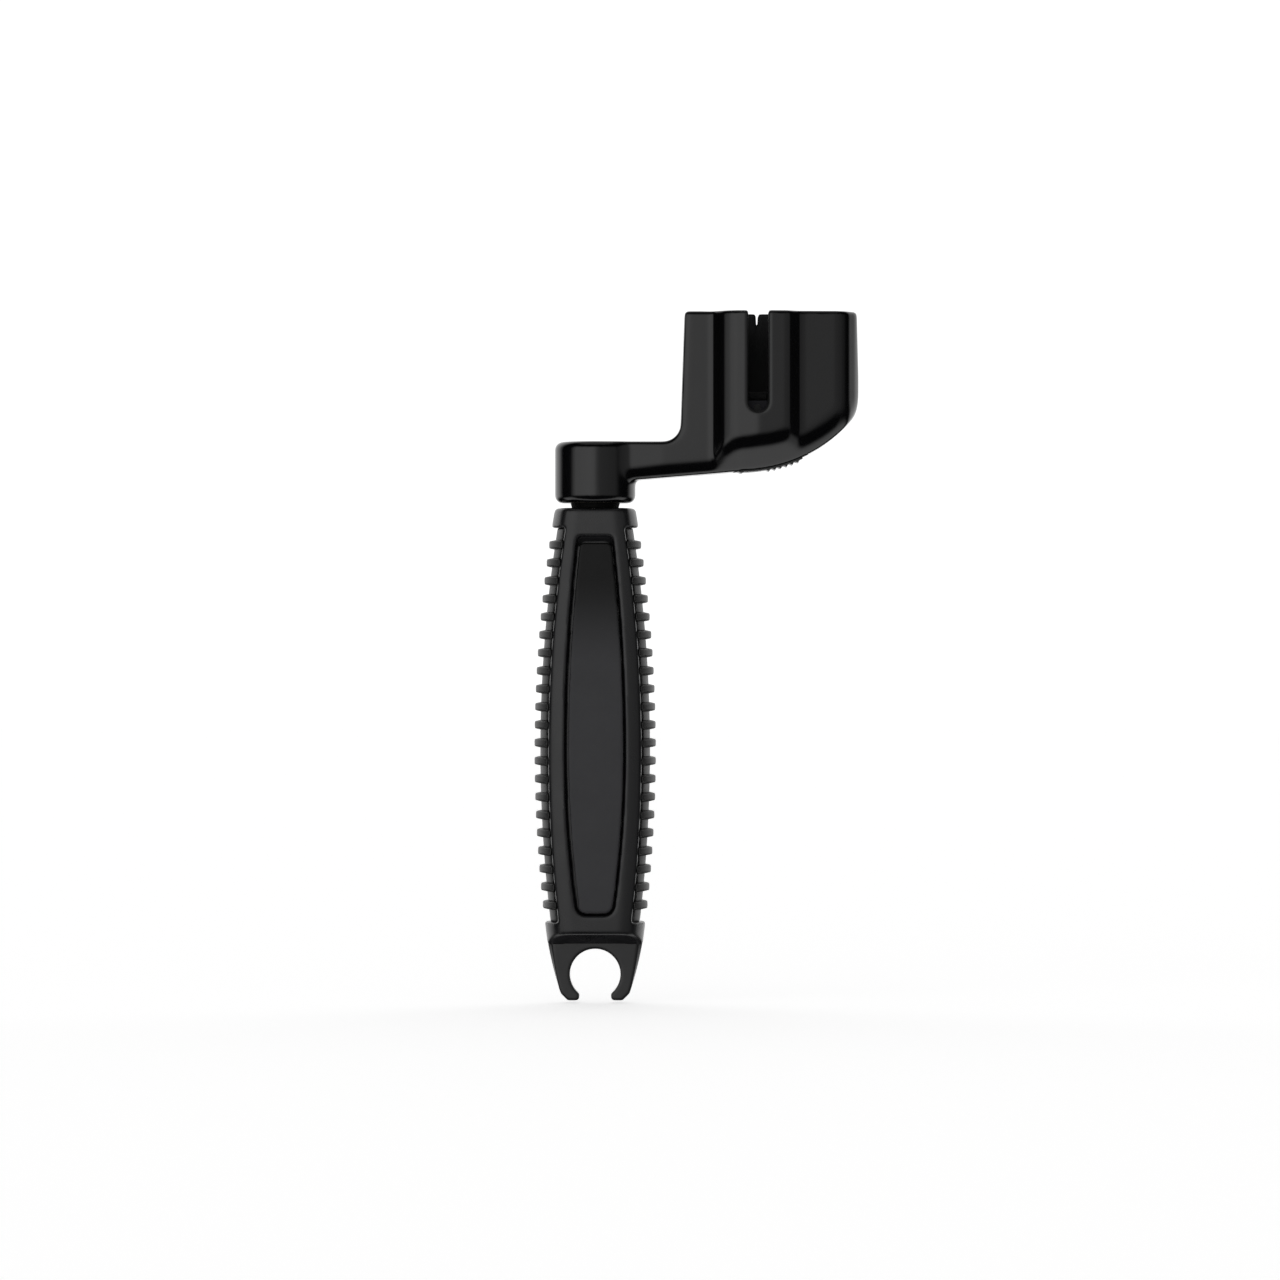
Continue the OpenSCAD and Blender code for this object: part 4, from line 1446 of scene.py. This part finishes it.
@dataclass
class Studio:
    """A pale floor, a soft surrounding light and the camera."""

    floor_z: float = -158.6
    floor_half: float = 4.0
    floor_glow: float = 0.62
    look_at: tuple[float, float] = (-27.0, -75.3)
    distance: float = 1.3
    lens: float = 159.0
    # Brightness of the soft boxes by compass angle: 0 is straight in front, negative is left.
    ring: tuple[tuple[float, float], ...] = (
        (-180, 0.0), (-100, 0.0), (-74, 0.02), (-58, 1.1), (-14, 1.25), (-3, 1.15), (6, 0.62),
        (14, 0.42), (60, 0.3), (74, 0.02), (100, 0.0), (180, 0.0),
    )
    # Brightness of the white paper behind the object, of the dark room in front and of the ceiling.
    behind: float = 1.1
    room: float = 0.004
    ceiling: float = 0.4

    def ring_level(self, tree, parts) -> bpy.types.NodeSocket:
        """Builds the brightness of the soft boxes round the object.

        Args:
            tree: the world's node tree.
            parts: the node that gives the direction's X, Y and Z.

        Returns:
            The socket that gives the brightness.
        """
        turn = add_node(tree, "ShaderNodeMath", {"operation": "MULTIPLY"}, {0: parts.outputs[1], 1: -1.0})
        angle = add_node(
            tree, "ShaderNodeMath", {"operation": "ARCTAN2"}, {0: parts.outputs[0], 1: turn.outputs[0]},
        )
        share = add_node(
            tree, "ShaderNodeMapRange",
            inputs={"Value": angle.outputs[0], "From Min": -math.pi, "From Max": math.pi},
        )
        curve = add_node(tree, "ShaderNodeFloatCurve", inputs={"Value": share.outputs[0]})
        # The curve runs from 0 to 1, so it holds half the brightness.
        line = curve.mapping.curves[0]
        first, *inner, last = (((degrees + 180) / 360, bright / 2) for degrees, bright in self.ring)
        line.points[0].location, line.points[-1].location = first, last
        for x, y in inner:
            line.points.new(x, y)
        for point in line.points:
            point.handle_type = "VECTOR"
        curve.mapping.update()
        level = add_node(tree, "ShaderNodeMath", {"operation": "MULTIPLY"}, {0: curve.outputs[0], 1: 2.0})
        return level.outputs[0]

    def build_world(self) -> None:
        """Makes the surrounding light, brighter behind and to the front left."""
        world = bpy.data.worlds.new("studio_surround")
        bpy.context.scene.world = world
        world.use_nodes = True
        tree = world.node_tree
        tree.nodes.clear()
        way = add_node(tree, "ShaderNodeTexCoord").outputs["Generated"]
        parts = add_node(tree, "ShaderNodeSeparateXYZ", inputs={0: way})
        found = {"ring": self.ring_level(tree, parts)}
        # Each fades in along depth (1, positive behind) or height (2), from none to its full strength.
        fades = {
            "below the boxes' top": (2, 0.7, 0.3, 1.0),
            "above the boxes' foot": (2, -0.4, -0.08, 1.0),
            "behind": (1, 0.25, 0.65, 1.0),
            "above the paper's foot": (2, -0.38, -0.08, 1.0),
            "not in front": (1, -0.42, -0.1, 1.0),
            "not behind": (1, 0.5, 0.25, 1.0),
            "under": (2, -0.3, -0.6, 1.0),
            "ceiling": (2, 0.84, 0.97, self.ceiling),
        }
        for name, (axis, start, end, top) in fades.items():
            found[name] = add_node(
                tree, "ShaderNodeMapRange", {"interpolation_type": "SMOOTHSTEP"},
                {"Value": parts.outputs[axis], "From Min": start, "From Max": end, "To Max": top},
            ).outputs[0]
        # The boxes stand in a band, the paper behind, and the table's sheen under and beside the object.
        sums = (
            ("band", "MULTIPLY", "below the boxes' top", "above the boxes' foot"),
            ("boxes", "MULTIPLY_ADD", "ring", "band", self.room),
            ("paper", "MULTIPLY", "behind", "above the paper's foot"),
            ("beside", "MULTIPLY", "not in front", "under"),
            ("table", "MULTIPLY", "beside", "not behind"),
            ("ends", "MAXIMUM", "table", "ceiling"),
            ("white", "MAXIMUM", "paper", "ends"),
        )
        for name, operation, *terms in sums:
            terms = {socket: found.get(term, term) for socket, term in enumerate(terms)}
            found[name] = add_node(tree, "ShaderNodeMath", {"operation": operation}, terms).outputs[0]
        mixed = add_node(
            tree, "ShaderNodeMix", {"data_type": "FLOAT"},
            {"Factor": found["white"], "A": found["boxes"], "B": self.behind},
        )
        # The camera itself sees plain white paper all round.
        seen = add_node(tree, "ShaderNodeLightPath").outputs["Is Camera Ray"]
        strength = add_node(
            tree, "ShaderNodeMix", {"data_type": "FLOAT"},
            {"Factor": seen, "A": mixed.outputs[0], "B": self.behind},
        )
        shader = add_node(
            tree, "ShaderNodeBackground", inputs={"Color": (1, 1, 1, 1), "Strength": strength.outputs[0]},
        )
        add_node(tree, "ShaderNodeOutputWorld", inputs={0: shader.outputs[0]})

    def build_floor(self) -> None:
        """Lays the pale floor under the fork's tips."""
        mesh = bpy.data.meshes.new("floor")
        half, z = self.floor_half, self.floor_z * MM
        corners = [(-half, -half, z), (half, -half, z), (half, half, z), (-half, half, z)]
        mesh.from_pydata(corners, [], [(0, 1, 2, 3)])
        floor = add_object("floor", mesh)
        made = empty_material("studio_paper_white")
        tree = made.node_tree
        shader = add_node(
            tree, "ShaderNodeBsdfPrincipled",
            inputs={
                "Base Color": (0.9, 0.9, 0.9, 1), "Roughness": 0.9, "Specular IOR Level": 0.1,
                "Emission Color": (1, 1, 1, 1), "Emission Strength": self.floor_glow,
            },
        )
        add_node(tree, "ShaderNodeOutputMaterial", inputs={"Surface": shader.outputs[0]})
        mesh.materials.append(made)
        floor.visible_glossy = False

    def build_camera(self) -> None:
        """Sets the camera level in front of the object."""
        camera = add_object("camera", bpy.data.cameras.new("camera"))
        camera.data.lens = self.lens
        camera.data.sensor_width = 36.0
        camera.data.clip_start, camera.data.clip_end = 0.01, 50.0
        camera.location = (self.look_at[0] * MM, -self.distance, self.look_at[1] * MM)
        camera.rotation_euler = (math.pi / 2, 0, 0)
        bpy.context.scene.camera = camera

    def build(self) -> None:
        """Builds the floor, the light and the camera."""
        bpy.context.scene.view_settings.view_transform = "Standard"
        self.build_world()
        self.build_floor()
        self.build_camera()


def main() -> None:
    """Builds every assembly in order."""
    logging.basicConfig(level=logging.INFO, format="%(name)s %(message)s")
    Studio().build()
    Crank().build()
    handle = Handle()
    handle.build()
    Grips(handle).build()
    Hardware(handle).build()


if __name__ == "__main__":
    main()
